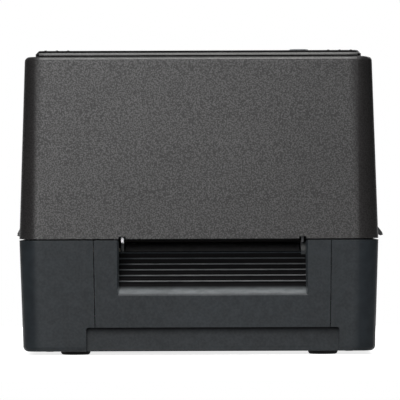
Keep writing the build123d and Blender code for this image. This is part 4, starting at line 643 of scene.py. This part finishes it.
def bar_tree(material):
    """Straight bar half sunk in the surface that it stands on, for grip ribs."""
    tree, given, result = geometry_tree("bars_" + material.name, {"Length": 10.0, "Width": 1.0, "Rise": 0.5})
    size = put(tree, "ShaderNodeCombineXYZ", {
        0: metres(tree, given["Width"]), 1: metres(tree, given["Length"]),
        2: metres(tree, calc(tree, "MULTIPLY", given["Rise"], 2.0))}).outputs[0]
    cube = put(tree, "GeometryNodeMeshCube", {"Size": size}).outputs["Mesh"]
    end_tree(tree, aimed(tree, given["Geometry"], cube), result, material)
    return tree


ZINC = screw_tree(screw_steel)
BLACK = screw_tree(screw_black)


def screws(name, places, aim, body, tree, head=5.5, rise=1.6):
    grow(name, places, [aim] * len(places), tree, {"Head": head, "Rise": rise}, body)


deck_bosses = [(-95.5, 9.8), (-95.5, 118.0), (92.5, -106.0), (95.5, 118.0)]
screws("deck_screws", [(x, y, DECK_TOP) for x, y in deck_bosses], (0, 0, 1), "base", ZINC, head=6.0, rise=1.3)
flange = [(MECH_X + side * 68.0, y, 165.5) for side in (-1, 1) for y in (-104.0, -12.0)]
screws("ribbon_frame_screws", flange, (0, 0, -1), "cover", ZINC, head=6.0, rise=1.8)
motor_holes = [(PLATE_RIGHT, MOTOR[0] + a * 15.5, MOTOR[1] + b * 15.5) for a in (-1, 1) for b in (-1, 1)]
screws("motor_screws", motor_holes, (1, 0, 0), "base", ZINC, head=5.0, rise=1.4)
screws("plate_foot_screws", [(-76.0, MOTOR[0] + a * 14.0, 7.0) for a in (-1, 1)], (0, 0, 1), "base", ZINC, head=5.0)
board_holes = [(x, y, BOARD_TOP) for x in (-86.0, -62.0) for y in (-20.0, 102.2)]
screws("main_board_screws", board_holes, (0, 0, 1), "base", ZINC, head=5.0)
screws("power_board_screws", [(x, 91.6, BOARD_TOP) for x in (76.5, 85.5)], (0, 0, 1), "base", ZINC, head=4.6)
panel_holes = [(x, -118.0, 169.0) for x in (34.0, 67.0)]
screws("control_board_screws", panel_holes, (0, 0, -1), "cover", ZINC, head=4.6, rise=1.2)
screws("head_screws", [(MECH_X + x, -84.0, 81.2) for x in (-42, 42)], (0, 0, 1), "head", ZINC, head=5.0)
bar_holes = [(MECH_X + x, -136.1, 75.5) for x in (-36, 0, 36)]
screws("tear_bar_screws", bar_holes, (0, 1, 0), "cover", ZINC, head=4.6, rise=1.2)
under = [(x, y, 2.4) for x in (-90.0, 90.0) for y in (-84.0, 84.0)]
screws("underside_screws", under, (0, 0, -1), "base", BLACK, head=6.5, rise=1.6)
behind = [(x, rear_face(z) - 0.1, z) for x, z in ((-91.0, 52.0), (58.0, 34.0))]
screws("rear_screws", behind, (0, 1, -SLOPE), "base", BLACK, head=6.0, rise=1.5)


GRIPS = bar_tree(finishes["latch_plastic"])
KNOB_RIBS = bar_tree(finishes["button_plastic"])


def latch_ribs():
    """Ribs across the sloping outer face of each latch's finger tab."""
    tabs = {"left": (-107.4, (-0.901, 0, 0.433), 3.8), "right": (108.15, (0.793, 0, 0.61), 4.4)}
    for side, (x, normal, width) in tabs.items():
        places = [(x, LATCH_Y + k * 2.6, TAB_Z) for k in range(-4, 5)]
        values = {"Length": 0.9, "Width": width, "Rise": 0.35}
        grow(f"latch_ribs_{side}", places, [normal] * len(places), GRIPS, values,
             f"latch_slide_{side}")


def knob_ribs():
    """Ribs across the top of the roll holders' lock."""
    x, y, z = KNOB
    places = [(x + k * 1.8, y, z) for k in range(-2, 3)]
    values = {"Length": 5.6, "Width": 0.8, "Rise": 0.3}
    grow("knob_ribs", places, [(0, 0, 1)] * len(places), KNOB_RIBS, values, "lock_slide")


def head_coils():
    """The head's two springs as round wire with closed ends."""
    wire, radius, apart = 0.5, 3.2, 60.0
    turns, closed, per_turn, ring = 5.5, 0.75, 28, 10
    steps = int(turns * per_turn)
    mesh = bpy.data.meshes.new("head_coils")
    points, faces = [], []
    for middle in (MECH_X - apart / 2, MECH_X + apart / 2):
        first = len(points)
        for k in range(steps + 1):
            turned = k / per_turn
            angle = 2 * math.pi * turned
            share = min(1.0, max(0.0, (turned - closed) / (turns - 2 * closed)))
            out = Vector((math.cos(angle), math.sin(angle), 0))
            for j in range(ring):
                round_wire = 2 * math.pi * j / ring
                at = out * (radius + wire * math.cos(round_wire))
                height = SPRING_LOW + (SPRING_HIGH - SPRING_LOW) * share + wire * math.sin(round_wire)
                points.append(Vector((middle + at.x, SPRING_Y + at.y, height)) * MM)
        for k in range(steps):
            for j in range(ring):
                a, b = first + k * ring + j, first + k * ring + (j + 1) % ring
                faces.append((a, a + ring, b + ring, b))
        faces.append(tuple(first + j for j in range(ring)))
        faces.append(tuple(first + steps * ring + j for j in reversed(range(ring))))
    mesh.from_pydata(points, [], faces)
    mesh.polygons.foreach_set("use_smooth", [True] * len(faces))
    mesh.materials.append(finishes["steel"])
    coils = bpy.data.objects.new("head_coils", mesh)
    scene.collection.objects.link(coils)
    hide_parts("head_springs")
    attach(coils, "cover")
    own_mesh(coils)


latch_ribs()
knob_ribs()
head_coils()


# Floor, camera and light

def floor():
    """Pale floor that shows white to the camera, whiter farther out, and keeps a soft shadow.

    It is small, so that the front's corners don't mirror it.
    """
    mesh = bpy.data.meshes.new("floor")
    half = 0.55
    mesh.from_pydata([(x * half, y * half, 0) for x, y in ((-1, -1), (1, -1), (1, 1), (-1, 1))], [], [(0, 1, 2, 3)])
    ground = bpy.data.objects.new("floor", mesh)
    scene.collection.objects.link(ground)
    material, tree, shader = new_material("floor_pale")
    grain = use(tree, FINE, Size=4.0)
    tone = blend_colours(tree, grain["Tone"], (0.86, 0.86, 0.86, 1), (0.9, 0.9, 0.9, 1))
    tree.links.new(tone, shader.inputs["Base Color"])
    shader.inputs["Roughness"].default_value = 0.9
    rays = put(tree, "ShaderNodeLightPath").outputs
    seen = calc(tree, "MAXIMUM", rays["Is Camera Ray"], calc(tree, "MULTIPLY", rays["Is Glossy Ray"], 0.35))
    shader.inputs["Emission Color"].default_value = (1, 1, 1, 1)
    away = put(tree, "ShaderNodeVectorMath", {0: put(tree, "ShaderNodeTexCoord").outputs["Object"]},
               operation="LENGTH").outputs["Value"]
    white = remap(tree, away, 0.16, 0.5, 0.8, 1.0)
    tree.links.new(calc(tree, "MULTIPLY", seen, white), shader.inputs["Emission Strength"])
    mesh.materials.append(material)


def studio_world():
    """White background; behind the object is a bright wall, above a pale ceiling, and the sides are dim."""
    world = bpy.data.worlds.new("studio")
    scene.world = world
    world.use_nodes = True
    tree = world.node_tree
    tree.nodes.clear()
    way = put(tree, "ShaderNodeSeparateXYZ", {0: put(tree, "ShaderNodeTexCoord").outputs["Generated"]}).outputs
    wall = remap(tree, way["Y"], 0.8, 0.97, 0.0, 0.95)
    ceiling = remap(tree, way["Z"], 0.4, 0.8, 0.0, 0.3)
    side = remap(tree, way["X"], -0.9, 0.9, 0.08, 0.015)
    room = calc(tree, "MAXIMUM", wall, calc(tree, "ADD", side, ceiling))
    rays = put(tree, "ShaderNodeLightPath").outputs
    level = calc(tree, "MAXIMUM", room, rays["Is Camera Ray"])
    level = calc(tree, "MAXIMUM", level, rays["Is Transmission Ray"])
    light = put(tree, "ShaderNodeBackground", {"Color": (1, 1, 1, 1), "Strength": level})
    out = put(tree, "ShaderNodeOutputWorld")
    tree.links.new(light.outputs[0], out.inputs["Surface"])


def softbox(name, place, target, width, height, power, roll=0.0):
    light = bpy.data.lights.new(name, "AREA")
    light.shape = "RECTANGLE"
    light.size = width
    light.size_y = height
    light.energy = power
    lamp = bpy.data.objects.new(name, light)
    lamp.location = place
    aim = (Vector(target) - Vector(place)).to_track_quat("-Z", "Y")
    lamp.rotation_euler = (aim @ Quaternion((0, 0, 1), math.radians(roll))).to_euler()
    scene.collection.objects.link(lamp)


def camera():
    """Level front view from 3 metres, 400 pixels across, each of them 0.591 mm at the front face."""
    lens = bpy.data.cameras.new("front_camera")
    lens.sensor_fit = "HORIZONTAL"
    lens.sensor_width = 36.0
    distance, view_width = 3.0, 400 * 0.591 * MM
    lens.lens = lens.sensor_width * distance / view_width
    lens.clip_end = 20.0
    eye = bpy.data.objects.new("front_camera", lens)
    eye.location = (0.74 * MM, FRONT_Y * MM - distance, 91.9 * MM)
    eye.rotation_euler = (math.radians(90), math.radians(0.2), 0)
    scene.collection.objects.link(eye)
    scene.camera = eye


floor()
studio_world()
camera()
softbox("front_softbox", (-0.36, -1.68, 0.56), (-0.08, -0.14, 0.12), 1.08, 0.7, 19.0, roll=14.0)
softbox("top_softbox", (0.0, -0.62, 1.3), (0, -0.35, 0.1), 0.9, 0.66, 15.0)
softbox("rear_softbox", (0.5, 1.5, 1.0), (0, 0.1, 0.1), 0.8, 0.6, 7.0)
